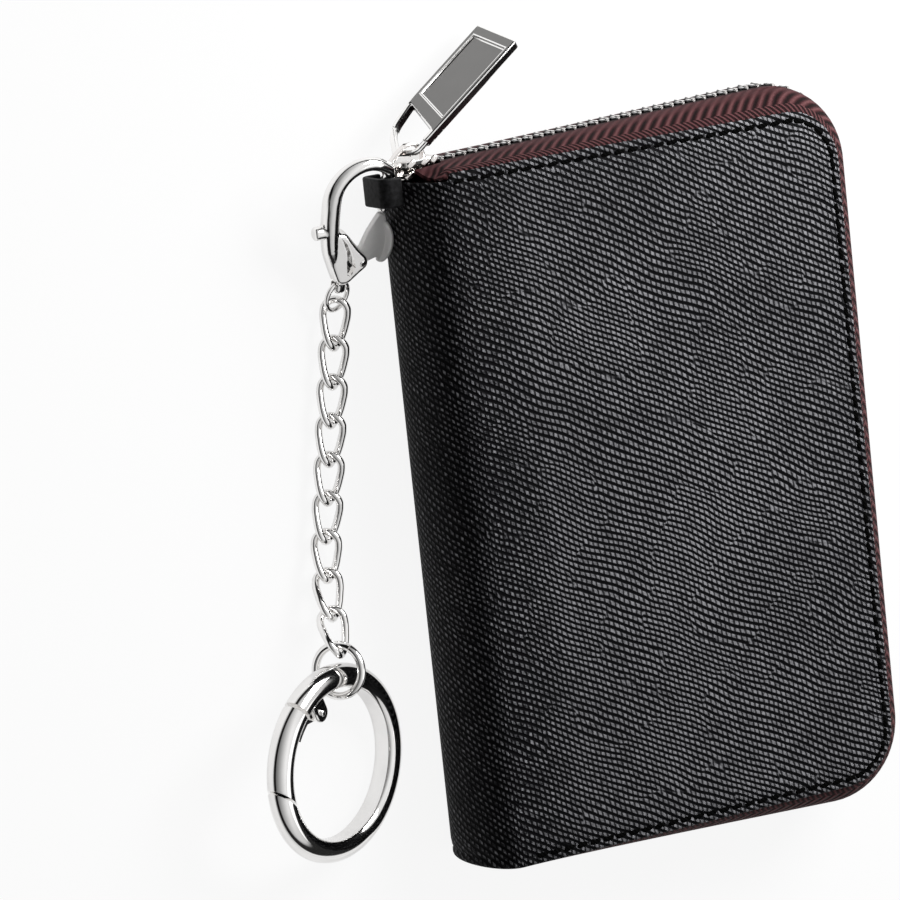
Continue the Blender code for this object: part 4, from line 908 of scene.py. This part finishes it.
slider_place = along_zip(SPINE_X + SLIDER_OVERHANG + SLIDER_LENGTH / 2)
lying = axes((0.0, 0.0, 0.0), (1.0, 0.0, 0.0), (0.0, 0.0, 1.0))
plate_level = (SLIDER_OUTSIDE + SLIDER_LIP) / 2
plate_thickness = SLIDER_OUTSIDE - SLIDER_LIP
pieces = []
for side in (1, -1):
    plate = flat_plate("slider_plate", both_sides(SLIDER_PLAN), plate_thickness,
                       slider_place @ Matrix.Translation((0.0, plate_level * side, 0.0)) @ lying)
    bevel(plate, SLIDER_BEVEL)
    paint(plate, zip_metal)
    plate.data.materials.append(painted_shade_and_reflection)
    # The plates' flank walls behind the flutes are painted near black: painted shade in the recess.
    for face in plate.data.polygons:
        face.material_index = int(abs(face.normal.z) > 0.9)
    low, high = sorted((side * SLIDER_INSIDE, 0.0))
    cut(plate, block("slider_groove", (-SLIDER_LENGTH, low, -SLIDER_GROOVE),
                     (SLIDER_LENGTH, high, SLIDER_GROOVE), slider_place))
    pieces.append(plate)
wedge = flat_plate("slider_wedge", both_sides(WEDGE_PLAN), 2 * SLIDER_INSIDE + WEDGE_SPARE,
                   slider_place @ lying)
paint(wedge, zip_metal)
pieces.append(wedge)
for face in (1, -1):
    for x, lean in FLUTES:
        lean = math.radians(lean)
        for side in (1, -1):
            along = x + side * plate_level / math.tan(lean)
            half = plate_thickness / math.sin(lean) / 2 * FLUTE_SHARE
            if abs(along) + half * 0.8 >= SLIDER_LENGTH / 2:
                continue
            middle = Matrix.Translation((along, side * plate_level, face * (SLIDER_HALF_WIDTH - FLUTE_SUNK)))
            flute = block("slider_flute", (-half, -FLUTE_WIDTH / 2, -FLUTE_STAND),
                          (half, FLUTE_WIDTH / 2, FLUTE_STAND),
                          slider_place @ middle @ Matrix.Rotation(lean, 4, "Z"))
            bevel(flute, FLUTE_BEVEL)
            paint(flute, zip_metal)
            pieces.append(flute)
bridge = strap("slider_strap", STRAP_PATH, STRAP_WIDTH, STRAP_THICKNESS, slider_place)
paint(bridge, zip_metal)
slider = join([*pieces, bridge], "slider_cast")
settle(slider, 35.0)
fit(slider, "slider", "zip_metal", "slider_body")

# Pull tab: a stamped plate of white metal with a satin face, polished edge bevels and side walls
# painted near black, a painted dark reflection. It has a bare sunk panel, a slanted window, and two
# thinner legs that meet in the bar under the slider's strap.
BRIDGE_OFFSET = -0.0005
BRIDGE_HEIGHT = 0.0018
TAB_TURNS = ((35.0, "Z"), (2.7, "Y"), (-67.6, "X"))
TAB_LENGTH = 0.0253
TAB_LEFT = 0.0065
TAB_RIGHT = 0.0020
TAB_THICKNESS = 0.0016
TAB_BAR = 0.0008
TAB_WINDOW_LEFT = 0.0083
TAB_WINDOW_RIGHT = 0.0052
TAB_FRAME = 0.0009
TAB_LEG_START = 0.0030
TAB_RIM = 0.0008
TAB_RECESS = 0.00040
TAB_BEVEL = 0.00026
MM = 0.001
TAB_CORNERS = (0.3 * MM, 0.6 * MM, 0.5 * MM, 0.5 * MM, 4.0 * MM, 2.2 * MM, 2.2 * MM, 1.2 * MM, 0.4 * MM)
WINDOW_CORNERS = (0.3 * MM, 0.3 * MM, 0.3 * MM, 2.0 * MM, 1.6 * MM, 0.3 * MM)
bridge_middle = Vector((BRIDGE_OFFSET, SLIDER_OUTSIDE + BRIDGE_HEIGHT / 2, 0.0))
tab_place = Matrix.Translation(slider_place @ bridge_middle)
for turn, axis in TAB_TURNS:
    tab_place = tab_place @ Matrix.Rotation(math.radians(turn), 4, axis)
tab_along, tab_across, tab_front = tab_place.to_3x3().col
slider_out = slider_place.to_3x3().col[1]
slant = tab_across.dot(slider_out) / tab_along.dot(slider_out)
half_bar = TAB_BAR / 2 * math.hypot(slant, 1.0)


def soften(outline, reach, steps=5):
    """Round the corners of an outline, each by its own reach."""
    points = []
    for index, corner in enumerate(outline):
        here = Vector(corner)
        before = Vector(outline[index - 1]) - here
        after = Vector(outline[(index + 1) % len(outline)]) - here
        room = min(reach[index], 0.45 * before.length, 0.45 * after.length)
        start = here + before.normalized() * room
        end = here + after.normalized() * room
        for step in range(steps + 1):
            share = step / steps
            points.append(start * (1 - share) ** 2 + here * 2 * share * (1 - share) + end * share ** 2)
    return points


leg = TAB_RIGHT - TAB_FRAME
foot_left = TAB_RIGHT - 0.2 * TAB_FRAME
shoulder = 0.88 * TAB_LEFT
knee = 0.70 * TAB_LEFT
outline = [(slant * (TAB_RIGHT - TAB_BAR / 2) - half_bar, TAB_BAR / 2 - TAB_RIGHT),
           (slant * TAB_RIGHT, -TAB_RIGHT), (TAB_LENGTH, -TAB_RIGHT), (TAB_LENGTH, TAB_LEFT),
           (TAB_WINDOW_LEFT, TAB_LEFT), (TAB_LEG_START, shoulder), (TAB_LEG_START / 3, knee),
           (-slant * foot_left - half_bar / 2, foot_left),
           (-slant * 0.7 * foot_left - half_bar, 0.7 * foot_left)]
window = [(slant * leg + half_bar, -leg), (TAB_WINDOW_RIGHT, -leg),
          (TAB_WINDOW_LEFT - half_bar, TAB_LEFT - TAB_FRAME),
          (TAB_LEG_START + half_bar, shoulder - TAB_FRAME),
          (TAB_LEG_START * 0.63, knee - 0.8 * TAB_FRAME), (half_bar - slant * leg, leg)]
strip = 2.5 * TAB_RIM
panel = [(TAB_LENGTH - strip, TAB_LEFT - TAB_RIM), (TAB_WINDOW_LEFT + strip, TAB_LEFT - TAB_RIM),
         (TAB_WINDOW_RIGHT + 1.4 * strip, TAB_RIM - TAB_RIGHT), (TAB_LENGTH - strip, TAB_RIM - TAB_RIGHT)]
tab = flat_plate("tab_plate", soften(outline, TAB_CORNERS), TAB_THICKNESS, tab_place)
cut(tab, flat_plate("tab_window", soften(window, WINDOW_CORNERS), 2 * TAB_THICKNESS, tab_place))
for face in (1, -1):
    low, high = sorted((face * TAB_BAR / 2, face * TAB_THICKNESS))
    cut(tab, block("tab_eye", (-0.013, -0.013, low), (TAB_LEG_START, 0.013, high), tab_place))
sunk = tab_place @ Matrix.Translation((0.0, 0.0, 1.5 * TAB_THICKNESS - TAB_RECESS))
cut(tab, flat_plate("tab_panel", panel, 2 * TAB_THICKNESS, sunk))
crossbar = Vector(window[2]) - Vector(window[1])
toward_panel = (tab_place.to_3x3() @ Vector((crossbar.y, -crossbar.x, 0.0))).normalized()
crossbar_edge = tab_place @ Vector((*window[1], 0.0)) + 0.0001 * toward_panel
pick(tab)
bpy.ops.mesh.bisect(plane_co=crossbar_edge, plane_no=toward_panel)
modify(tab, "BEVEL", width=TAB_BEVEL, segments=2, limit_method="ANGLE", angle_limit=math.radians(30.0),
       use_clamp_overlap=False)
settle(tab, 20.0)
paint(tab, polished_metal)
tab.data.materials.append(satin_metal)
tab.data.materials.append(painted_shade_and_reflection)
# Side walls take the near-black plate, a painted dark reflection.
for face in tab.data.polygons:
    if abs(face.normal.dot(tab_front)) < 0.2:
        face.material_index = 2
    on_plate = (face.center - crossbar_edge).dot(toward_panel) > 0.0
    if on_plate and abs(face.normal.dot(tab_front)) > 0.995 and face.area > 2e-7:
        face.material_index = 1
tab.name = "pull_tab_plate"
fit(tab, "tab", "brushed_metal", "pull_tab")

# Hanging loop: a short strap of the same leather, its ends sewn in under the spine, that stands off
# the spine's top end for the clasp to hook on.
LOOP_REACH = 0.0032
LOOP_HEIGHT = 0.0076
LOOP_BAND = 0.0009
LOOP_WIDTH = 0.0046
LOOP_Y = 0.0526
LOOP_BEND = 0.0012


def arc(centre, radius, start, end, steps):
    """List points round an arc."""
    angles = [start + (end - start) * step / steps for step in range(steps + 1)]
    return [(centre[0] + radius * math.cos(angle), centre[1] + radius * math.sin(angle)) for angle in angles]


inner = LOOP_HEIGHT / 2 - LOOP_BAND / 2
reach = LOOP_REACH - LOOP_BAND / 2
path = [(LAYER_GAP, inner), (-0.4 * reach, inner)]
path += arc((-reach + LOOP_BEND, inner - LOOP_BEND), LOOP_BEND, math.pi / 2, math.pi, 6)
path += arc((-reach + LOOP_BEND, -inner + LOOP_BEND), LOOP_BEND, math.pi, 1.5 * math.pi, 6)
path += [(-0.4 * reach, -inner), (LAYER_GAP, -inner)]
loop_place = axes((SPINE_X - 2 * LAYER_GAP, LOOP_Y, MIDDLE), (1.0, 0.0, 0.0), (0.0, 0.0, 1.0))
loop = strap("hang_loop_leather", path, LOOP_WIDTH, LOOP_BAND, loop_place)
material, tree, surface = new_material("black_strap_leather")
pores = add_noise(tree, add_node(tree, "TexCoord").outputs["Object"], 1500.0, 3.0)
colour = add_ramp(tree, pores, ((0.35, (0.0012, 0.0012, 0.0014)), (0.70, (0.012, 0.012, 0.013))))
shade(tree, surface, colour, 0.52, pores, 0.6, 0.00008, {"Specular IOR Level": 0.10})
paint(loop, material)
fit(loop, "back_half", "black_leather", "hang_loop")

# Clasp: a cast, plated hook on a forked foot, blended where they meet, with a knob at its back, a
# slot for the trigger and a drilled eye for the jump ring.
JUMP_RING_RADIUS = 0.0024
CHAIN_HEIGHT = 0.00195
CLASP_PIVOT_X = 0.0015
HOOK_RADIUS = 0.0055
HOOK_WIRE = 0.0015
HOOK_CENTRE = (-0.0039, 0.0008)
HOOK_TIP_Y = -0.0025
HOOK_STEPS = 9
HOOK_THINNING = 0.38
HOOK_STEM = ((-0.0068, -0.0140, 0.60), (-0.0077, -0.0112, 0.80), (-0.0087, -0.0080, 0.95),
             (-0.0092, -0.0045, 1.0), (-0.0094, -0.0012, 1.0))
HOOK_NOSE = ((0.0002, 0.0030, 0.58), (-0.0001, 0.0010, 0.56), (-0.0003, HOOK_TIP_Y, 0.52))
FORK = ((-0.0095, -0.0078), (-0.0087, -0.0112), (-0.0075, -0.0141), (-0.0057, -0.0141), (-0.0040, -0.0123),
        (-0.0026, -0.0110), (-0.0028, -0.0094), (-0.0046, -0.0076), (-0.0066, -0.0050), (-0.0086, -0.0048))
CLASP_PLATE = 0.0022
CLASP_WEDGE = 135.0
FORK_ROUNDING = 0.0006
FOOT_LOW = Vector((-0.0009, -0.0015, -CLASP_PLATE / 2))
FOOT_HIGH = Vector((0.0009, 0.0012, CLASP_PLATE / 2))
FOOT_ROUNDING = 0.0005
SLOT_LOW = (-0.0064, -0.0126)
SLOT_HIGH = (0.0030, -0.0040)
CHEEK_SLIT = ((-0.0076, -0.0054, 0.00030), (-0.0066, -0.0074, 0.00052), (-0.0059, -0.0093, 0.00062),
              (-0.0056, -0.0109, 0.00070), (-0.0058, -0.0124, 0.00030))
CLASP_EYE = Vector((-0.0066, -0.0143, 0.0))
TRIGGER_PIVOT = Vector((-0.0038, -0.0104, 0.0))
KNOB_PLACE = Vector((-0.0108, -0.0046, 0.0))
KNOB_RADIUS = 0.0011
KNOB_LENGTH = 0.0026
KNOB_ROUNDING = 0.0004
TRIGGER = 0.0010
TRIGGER_CLEARANCE = 0.0003
PIN_RADIUS = 0.0005
PIN_ROUNDING = 0.00018
PIN_FIT = 0.98 * PIN_RADIUS
EYE_RADIUS = 0.00095
DRILL_LENGTH = 0.006
CAST_GRAIN = 0.00013


def bar(name, points, radii, closed=False, smooth=4):
    """Draw a smooth round bar through points, with its thickness at each."""
    drawn = bpy.data.curves.new(name, "CURVE")
    drawn.dimensions = "3D"
    drawn.bevel_depth = 1.0
    drawn.bevel_resolution = smooth
    drawn.resolution_u = 5
    drawn.use_fill_caps = not closed
    line = drawn.splines.new("BEZIER")
    line.bezier_points.add(len(points) - 1)
    line.use_cyclic_u = closed
    for knot, point, radius in zip(line.bezier_points, points, radii):
        knot.co = point
        knot.radius = radius
        knot.handle_left_type = "AUTO"
        knot.handle_right_type = "AUTO"
    made = bpy.data.objects.new(name, drawn)
    bpy.context.scene.collection.objects.link(made)
    take(made)
    bpy.ops.object.convert(target="MESH")
    made = bpy.context.object
    even_out(made)
    settle(made, 60.0)
    return made


def rod(name, radius, length, place, sides=32, rounding=0.0):
    """Turn a round rod about the place's Z axis, with its ends rounded over."""
    made = add_shape(bpy.ops.mesh.primitive_circle_add, name, vertices=sides, radius=radius, fill_type="NGON",
                     location=(0.0, 0.0, -length / 2))
    pick(made)
    bpy.ops.mesh.extrude_region_move(TRANSFORM_OT_translate={"value": (0.0, 0.0, length)})
    even_out(made)
    settle(made)
    if rounding:
        bevel(made, rounding, 3, 50.0)
    return stand(made, place)


def hang(piece, node, body):
    """Ride a piece of polished metal on its body in its node's stead."""
    paint(piece, polished_metal)
    fit(piece, body, "polished_metal", node)


clasp_length = 2 * JUMP_RING_RADIUS - CLASP_EYE.y
clasp_tilt = math.asin((MIDDLE - CHAIN_HEIGHT) / clasp_length)
clasp_place = axes((SPINE_X - CLASP_PIVOT_X, LOOP_Y - CLASP_PIVOT_X / 2, MIDDLE), (1.0, 0.0, 0.0),
                   (0.0, math.cos(clasp_tilt), math.sin(clasp_tilt)))
bend = arc(HOOK_CENTRE, HOOK_RADIUS, math.radians(178), math.radians(40), HOOK_STEPS)
line = [*HOOK_STEM, *((x, y, 1.0 - HOOK_THINNING * index / HOOK_STEPS) for index, (x, y) in enumerate(bend)),
        *HOOK_NOSE]
hook = bar("clasp_hook", [(x, y, 0.0) for x, y, share in line], [HOOK_WIRE * share for x, y, share in line],
           smooth=6)
fork = flat_plate("clasp_fork", soften(FORK, [0.8 * MM] * len(FORK)), CLASP_PLATE)
bevel(fork, FORK_ROUNDING, 3)
for point in fork.data.vertices:
    point.co.z *= 1.0 + CLASP_WEDGE * (point.co.x - FORK[0][0])
foot = block("clasp_foot", CLASP_EYE + FOOT_LOW, CLASP_EYE + FOOT_HIGH)
bevel(foot, FOOT_ROUNDING, 3)
level = Matrix.Rotation(math.pi / 2, 4, "Y")
knob = rod("clasp_knob", KNOB_RADIUS, KNOB_LENGTH, Matrix.Translation(KNOB_PLACE) @ level, 24, KNOB_ROUNDING)
clasp = join([hook, fork, foot, knob], "clasp_cast")
modify(clasp, "REMESH", mode="VOXEL", voxel_size=CAST_GRAIN, adaptivity=0.0)
modify(clasp, "SMOOTH", factor=0.5, iterations=8)
slot_half = TRIGGER / 2 + TRIGGER_CLEARANCE
cut(clasp, block("clasp_slot", (*SLOT_LOW, -slot_half), (*SLOT_HIGH, slot_half)))
slit = [(x + side * half, y) for side, order in ((-1, 1), (1, -1)) for x, y, half in CHEEK_SLIT[::order]]
cut(clasp, flat_plate("clasp_slit", soften(slit, [0.3 * MM] * len(slit), 3), 2 * CLASP_PLATE))
cut(clasp, rod("clasp_eye", EYE_RADIUS, DRILL_LENGTH, Matrix.Translation(CLASP_EYE) @ level))
cut(clasp, rod("clasp_pin_hole", PIN_RADIUS, DRILL_LENGTH, Matrix.Translation(TRIGGER_PIVOT)))
clasp.data.transform(clasp_place)
settle(clasp, 45.0)
hang(clasp, "clasp_body", "clasp")
hang(rod("trigger_pin_rivet", PIN_FIT, 1.85 * CLASP_PLATE,
         clasp_place @ Matrix.Translation(TRIGGER_PIVOT), 24, PIN_ROUNDING), "trigger_pin", "clasp")

# Trigger: the clasp's gate, a thick stamping that turns on the pin, with a thumb plate that flares
# out to both sides of it.
THUMB_HALF_WIDTH = 0.0017
THUMB_SHEET = 0.0006
THUMB_HOLLOW = 0.0006
THUMB = ((0.0004, -0.0042, 0.35), (0.0009, -0.0050, 0.70), (0.0013, -0.0062, 0.95), (0.0015, -0.0078, 1.0),
         (0.0014, -0.0094, 0.92), (0.0010, -0.0108, 0.70), (0.0004, -0.0116, 0.40))
TRIGGER_BACK = ((0.0004, -0.0040), (0.0009, -0.0056), (0.0012, -0.0078), (0.0013, -0.0100), (0.0010, -0.0117),
                (0.0004, -0.0116), (-0.0007, -0.0106), (-0.0020, -0.0110))
TRIGGER_FRONT = ((-0.0036, -0.0084), (-0.0026, -0.0058), (-0.0016, -0.0040))
TRIGGER_EYE = 0.0013
TRIGGER_BEVEL = 0.00016
tip_y = HOOK_TIP_Y - TRIGGER_CLEARANCE
around = arc(TRIGGER_PIVOT, TRIGGER_EYE, math.radians(290), math.radians(140), 12)
outline = [(-0.0008, tip_y), (0.0001, tip_y - 0.0003), *TRIGGER_BACK, *around, *TRIGGER_FRONT]
trigger = flat_plate("trigger_body", outline, TRIGGER)
cut(trigger, rod("trigger_hole", PIN_RADIUS + LAYER_GAP / 2, 0.004, Matrix.Translation(TRIGGER_PIVOT)))
bevel(trigger, TRIGGER_BEVEL, 2, 30.0)
thumb = add_shape(bpy.ops.mesh.primitive_grid_add, "thumb_plate", x_subdivisions=len(THUMB) - 1,
                  y_subdivisions=8, size=1.0)
for point in thumb.data.vertices:
    x, y, share = THUMB[round((point.co.x + 0.5) * (len(THUMB) - 1))]
    across = 2 * point.co.y
    point.co = (x - THUMB_HOLLOW * (1 - across * across), y, across * share * THUMB_HALF_WIDTH)
modify(thumb, "SOLIDIFY", thickness=THUMB_SHEET, offset=0.0)
even_out(thumb)
modify(thumb, "SUBSURF", levels=2, render_levels=2)
trigger = join([trigger, thumb], "trigger_stamping")
trigger.data.transform(clasp_place)
settle(trigger, 40.0)
paint(trigger, metal_material("soft_plate", (0.93, 0.92, 0.91), 0.34, 0.06, 0.3, 0.0, 0.12))
fit(trigger, "trigger", "polished_metal", "clasp_trigger")

# Chain: a split jump ring, nine twisted curb links and a split end ring, all of plated round wire.
# From the seventh link on it climbs to the key ring, which stands tilted on the table.
JUMP_RING_WIRE = 0.0004
JUMP_RING_TURN = math.radians(20.0)
LINK_HALF_LENGTH = 0.0038
LINK_HALF_WIDTH = 0.0019
LINK_WIRE = 0.0006
LINK_TWIST = math.radians(45.0)
LINK_GAP = 0.00035
CHAIN_HEADING = math.radians(9.6)
CHAIN_CLIMB = (0.0, 0.0, 0.0, 0.0, 0.0, 0.0, 0.15, 0.34, 0.51)
END_RING_RADIUS = 0.0040
END_RING_WIRE = 0.00065
END_RING_TILT = math.radians(55.0)
KEY_RING_RADIUS = 0.0136
KEY_RING_TUBE = 0.0021
KEY_RING_TILT = math.radians(24.0)
RING_SLIT = 0.00012
WIRE_SIDES = 14
WIRE_STEPS = 56


def bent_wire(name, radius, wire, place, slit_at):
    """Bend a ring of round wire with a hairline slit, its middle on the place's own floor."""
    slit = RING_SLIT / radius
    ring = add_shape(bpy.ops.mesh.primitive_circle_add, name, vertices=WIRE_SIDES, radius=wire,
                     fill_type="NGON", location=(radius, 0.0, 0.0), rotation=(math.pi / 2, 0.0, 0.0))
    settle(ring)
    pick(ring)
    bpy.ops.mesh.spin(steps=WIRE_STEPS, angle=2 * math.pi - slit, center=(0.0, 0.0, 0.0),
                      axis=(0.0, 0.0, 1.0))
    even_out(ring)
    return stand(ring, place @ Matrix.Rotation(slit_at, 4, "Z"), 50.0)


def chain_place(origin, rise=0.0):
    """Give the frame of a piece on the chain: Y back up the chain, X across it."""
    back = Vector((math.sin(CHAIN_HEADING), math.cos(CHAIN_HEADING), 0.0))
    across = Vector((math.cos(CHAIN_HEADING), -math.sin(CHAIN_HEADING), 0.0))
    return axes(origin, across, back) @ Matrix.Rotation(-rise, 4, "X")


def next_on_chain(foot, step, rise=0.0):
    """Give the frame of the next piece, its middle a step down the chain from the last one's foot."""
    return chain_place(chain_place(foot, rise) @ Vector((0.0, step, 0.0)), rise)


ring_centre = CLASP_EYE - Vector((0.0, JUMP_RING_RADIUS, 0.0))
ring_place = clasp_place @ Matrix.Translation(ring_centre) @ Matrix.Rotation(JUMP_RING_TURN, 4, "Y")
hang(bent_wire("jump_ring_wire", JUMP_RING_RADIUS, JUMP_RING_WIRE, ring_place, 0.4), "jump_ring", "jump_ring")
foot = clasp_place @ (ring_centre - Vector((0.0, JUMP_RING_RADIUS, 0.0)))
hold = JUMP_RING_WIRE + LINK_WIRE + 1.5 * LINK_GAP
climb = KEY_RING_TUBE + KEY_RING_RADIUS * math.sin(KEY_RING_TILT) - CHAIN_HEIGHT

straight = LINK_HALF_LENGTH - LINK_HALF_WIDTH
oval = []
for sign, start in ((1, 0.0), (-1, math.pi)):
    oval += arc((0.0, sign * straight), LINK_HALF_WIDTH, start, start + math.pi, 7)
    oval.append((-sign * LINK_HALF_WIDTH, 0.0))
link_line = []
for across, along in oval:
    turn = LINK_TWIST * along / LINK_HALF_LENGTH
    link_line.append((across * math.cos(turn), along, across * math.sin(turn)))
link = bar("link", link_line, [LINK_WIRE] * len(link_line), True, 3)
for number, share in enumerate(CHAIN_CLIMB, 1):
    rise = math.asin(climb * share / (2 * LINK_HALF_LENGTH - hold))
    link_place = next_on_chain(foot, hold - LINK_HALF_LENGTH, rise)
    copy = copy_at(link, link_place)
    copy.name = f"curb_link_{number}"
    hang(copy, f"chain_link_{number}", f"chain_link_{number}")
    foot = link_place @ Vector((0.0, -LINK_HALF_LENGTH, 0.0))
    hold = 2 * LINK_WIRE + LINK_GAP
bpy.data.objects.remove(link, do_unlink=True)

hold = LINK_WIRE + END_RING_WIRE + LINK_GAP
end_place = next_on_chain(foot, hold - END_RING_RADIUS) @ Matrix.Rotation(-END_RING_TILT, 4, "Y")
hang(bent_wire("end_ring_wire", END_RING_RADIUS, END_RING_WIRE, end_place, 1.1), "end_ring", "end_ring")
foot = end_place @ Vector((0.0, -END_RING_RADIUS, 0.0))

# Key ring: a heavy plated ring with a round back and a flat inner wall. A gate with a slanted nose
# is let into it, which a spring closes and which turns on a pin between two ears inside the ring.
GATE_START = math.radians(49.0)
GATE_END = math.radians(109.0)
GATE_SLIT = 0.0003
GATE_NOSE_GAP = 0.0004
NOSE_SPARE = 0.2
GATE_PIVOT_ANGLE = math.radians(34.0)
GATE_PIVOT_INSET = 0.0033
GATE_TONGUE = 0.0011
LUG_RADIUS = 0.0015
LUG_WALL = 0.0008
INNER_WALL = 0.0015
EAR_REACH = 0.0035
EAR_ROUNDING = 0.0003
EAR_SLOT = (GATE_PIVOT_ANGLE - 0.22, 0.096, 7)
TONGUE_REACH = 0.0010
RING_BEVEL = 0.0001
hold = END_RING_WIRE + KEY_RING_TUBE + LINK_GAP
key_place = next_on_chain(foot, hold - KEY_RING_RADIUS) @ Matrix.Rotation(KEY_RING_TILT, 4, "Y")


def round_ring(radius, angle):
    """Give a point on a circle, by the angle from its top round to its left."""
    return Vector((-radius * math.sin(angle), radius * math.cos(angle), 0.0))


def ring_line(radius, start, step=0.0, count=1):
    """List points round a circle from one angle on, by even steps."""
    return [tuple(round_ring(radius, start + index * step).xy) for index in range(count)]


def ring_bar(name, start, end, steps):
    """Turn the ring's bar from one angle to another."""
    made = add_shape(bpy.ops.mesh.primitive_circle_add, name, vertices=36, radius=KEY_RING_TUBE,
                     fill_type="NGON", location=(0.0, KEY_RING_RADIUS, 0.0), rotation=(0.0, math.pi / 2, 0.0))
    settle(made)
    flat_at = KEY_RING_RADIUS - INNER_WALL
    pick(made, "VERT", lambda point: point.y < flat_at)
    bpy.ops.transform.resize(value=(1.0, 0.0, 1.0), center_override=(0.0, flat_at, 0.0))
    settle(made)
    made.data.transform(Matrix.Rotation(start, 4, "Z"))
    pick(made)
    bpy.ops.mesh.spin(steps=steps, angle=end - start, center=(0.0, 0.0, 0.0), axis=(0.0, 0.0, -1.0))
    even_out(made)
    settle(made, 40.0)
    return made


def cut_nose(piece, side):
    """Cut a bar off along the slanted nose, before it or past it, by half the gap."""
    reach = 2.6 * KEY_RING_TUBE
    low, high = sorted((-side * reach, side * GATE_NOSE_GAP / 2))
    cut(piece, block("nose_cut", (low, -reach, -reach), (high, reach, reach), nose_place))
    bevel(piece, RING_BEVEL, 1, 60.0)


def finish_on_ring(piece, name, node, body):
    """Put a finished part of the ring in its place and hang it."""
    piece.name = name
    piece.data.transform(key_place)
    settle(piece, 40.0)
    hang(piece, node, body)


pivot = round_ring(KEY_RING_RADIUS - GATE_PIVOT_INSET, GATE_PIVOT_ANGLE)
nose_end = round_ring(KEY_RING_RADIUS, GATE_END)
away = (nose_end - pivot).normalized()
nose_place = axes(nose_end, away, (-away.y, away.x, 0.0))
slit = GATE_SLIT / KEY_RING_RADIUS
outward = pivot.normalized()
angle = math.atan2(outward.y, outward.x)
inside = KEY_RING_RADIUS - KEY_RING_TUBE

ring = ring_bar("ring_bar", GATE_END - NOSE_SPARE, GATE_START - slit + 2 * math.pi, 90)
cut_nose(ring, 1)
sideways = Vector((-outward.y, outward.x, 0.0))
root = pivot + outward * GATE_PIVOT_INSET
ear = arc(pivot, LUG_RADIUS, angle + math.pi / 2, angle + 1.5 * math.pi, 14)
ear += [tuple((root - sideways * LUG_RADIUS).xy), tuple((root + sideways * LUG_RADIUS).xy)]
lug = flat_plate("ring_ears", ear, 2 * (GATE_TONGUE / 2 + LAYER_GAP + LUG_WALL))
bevel(lug, EAR_ROUNDING, 3)
weld(ring, lug)
slot_line = ring_line(inside - EAR_REACH, *EAR_SLOT) + ring_line(inside + LAYER_GAP, *EAR_SLOT)[::-1]
cut(ring, flat_plate("ear_slot", slot_line, GATE_TONGUE + 2 * LAYER_GAP))
finish_on_ring(ring, "key_ring_bar", "key_ring", "ring")

gate = ring_bar("gate_bar", GATE_START + slit, GATE_END + NOSE_SPARE, 30)
cut_nose(gate, -1)
tongue = arc(pivot, LUG_RADIUS - LAYER_GAP, angle - 0.1 * math.pi, angle - 1.2 * math.pi, 14)
tongue += ring_line(inside - TONGUE_REACH, GATE_START, 0.10, 4)
tongue += ring_line(inside + KEY_RING_TUBE, GATE_START + 0.30, -0.11, 3)
tongue += ring_line(inside - LAYER_GAP, GATE_START + slit)
tongue += ring_line(inside - LAYER_GAP, GATE_PIVOT_ANGLE + 0.1)
weld(gate, flat_plate("gate_tongue", tongue, GATE_TONGUE))
cut(gate, rod("gate_hole", PIN_RADIUS + LAYER_GAP / 2, DRILL_LENGTH, Matrix.Translation(pivot)))
finish_on_ring(gate, "key_ring_gate_bar", "key_ring_gate", "gate")
hang(rod("gate_pin_rivet", PIN_FIT, GATE_TONGUE + 4 * LAYER_GAP + 2 * LUG_WALL,
         key_place @ Matrix.Translation(pivot), 24, PIN_ROUNDING), "gate_pin", "ring")
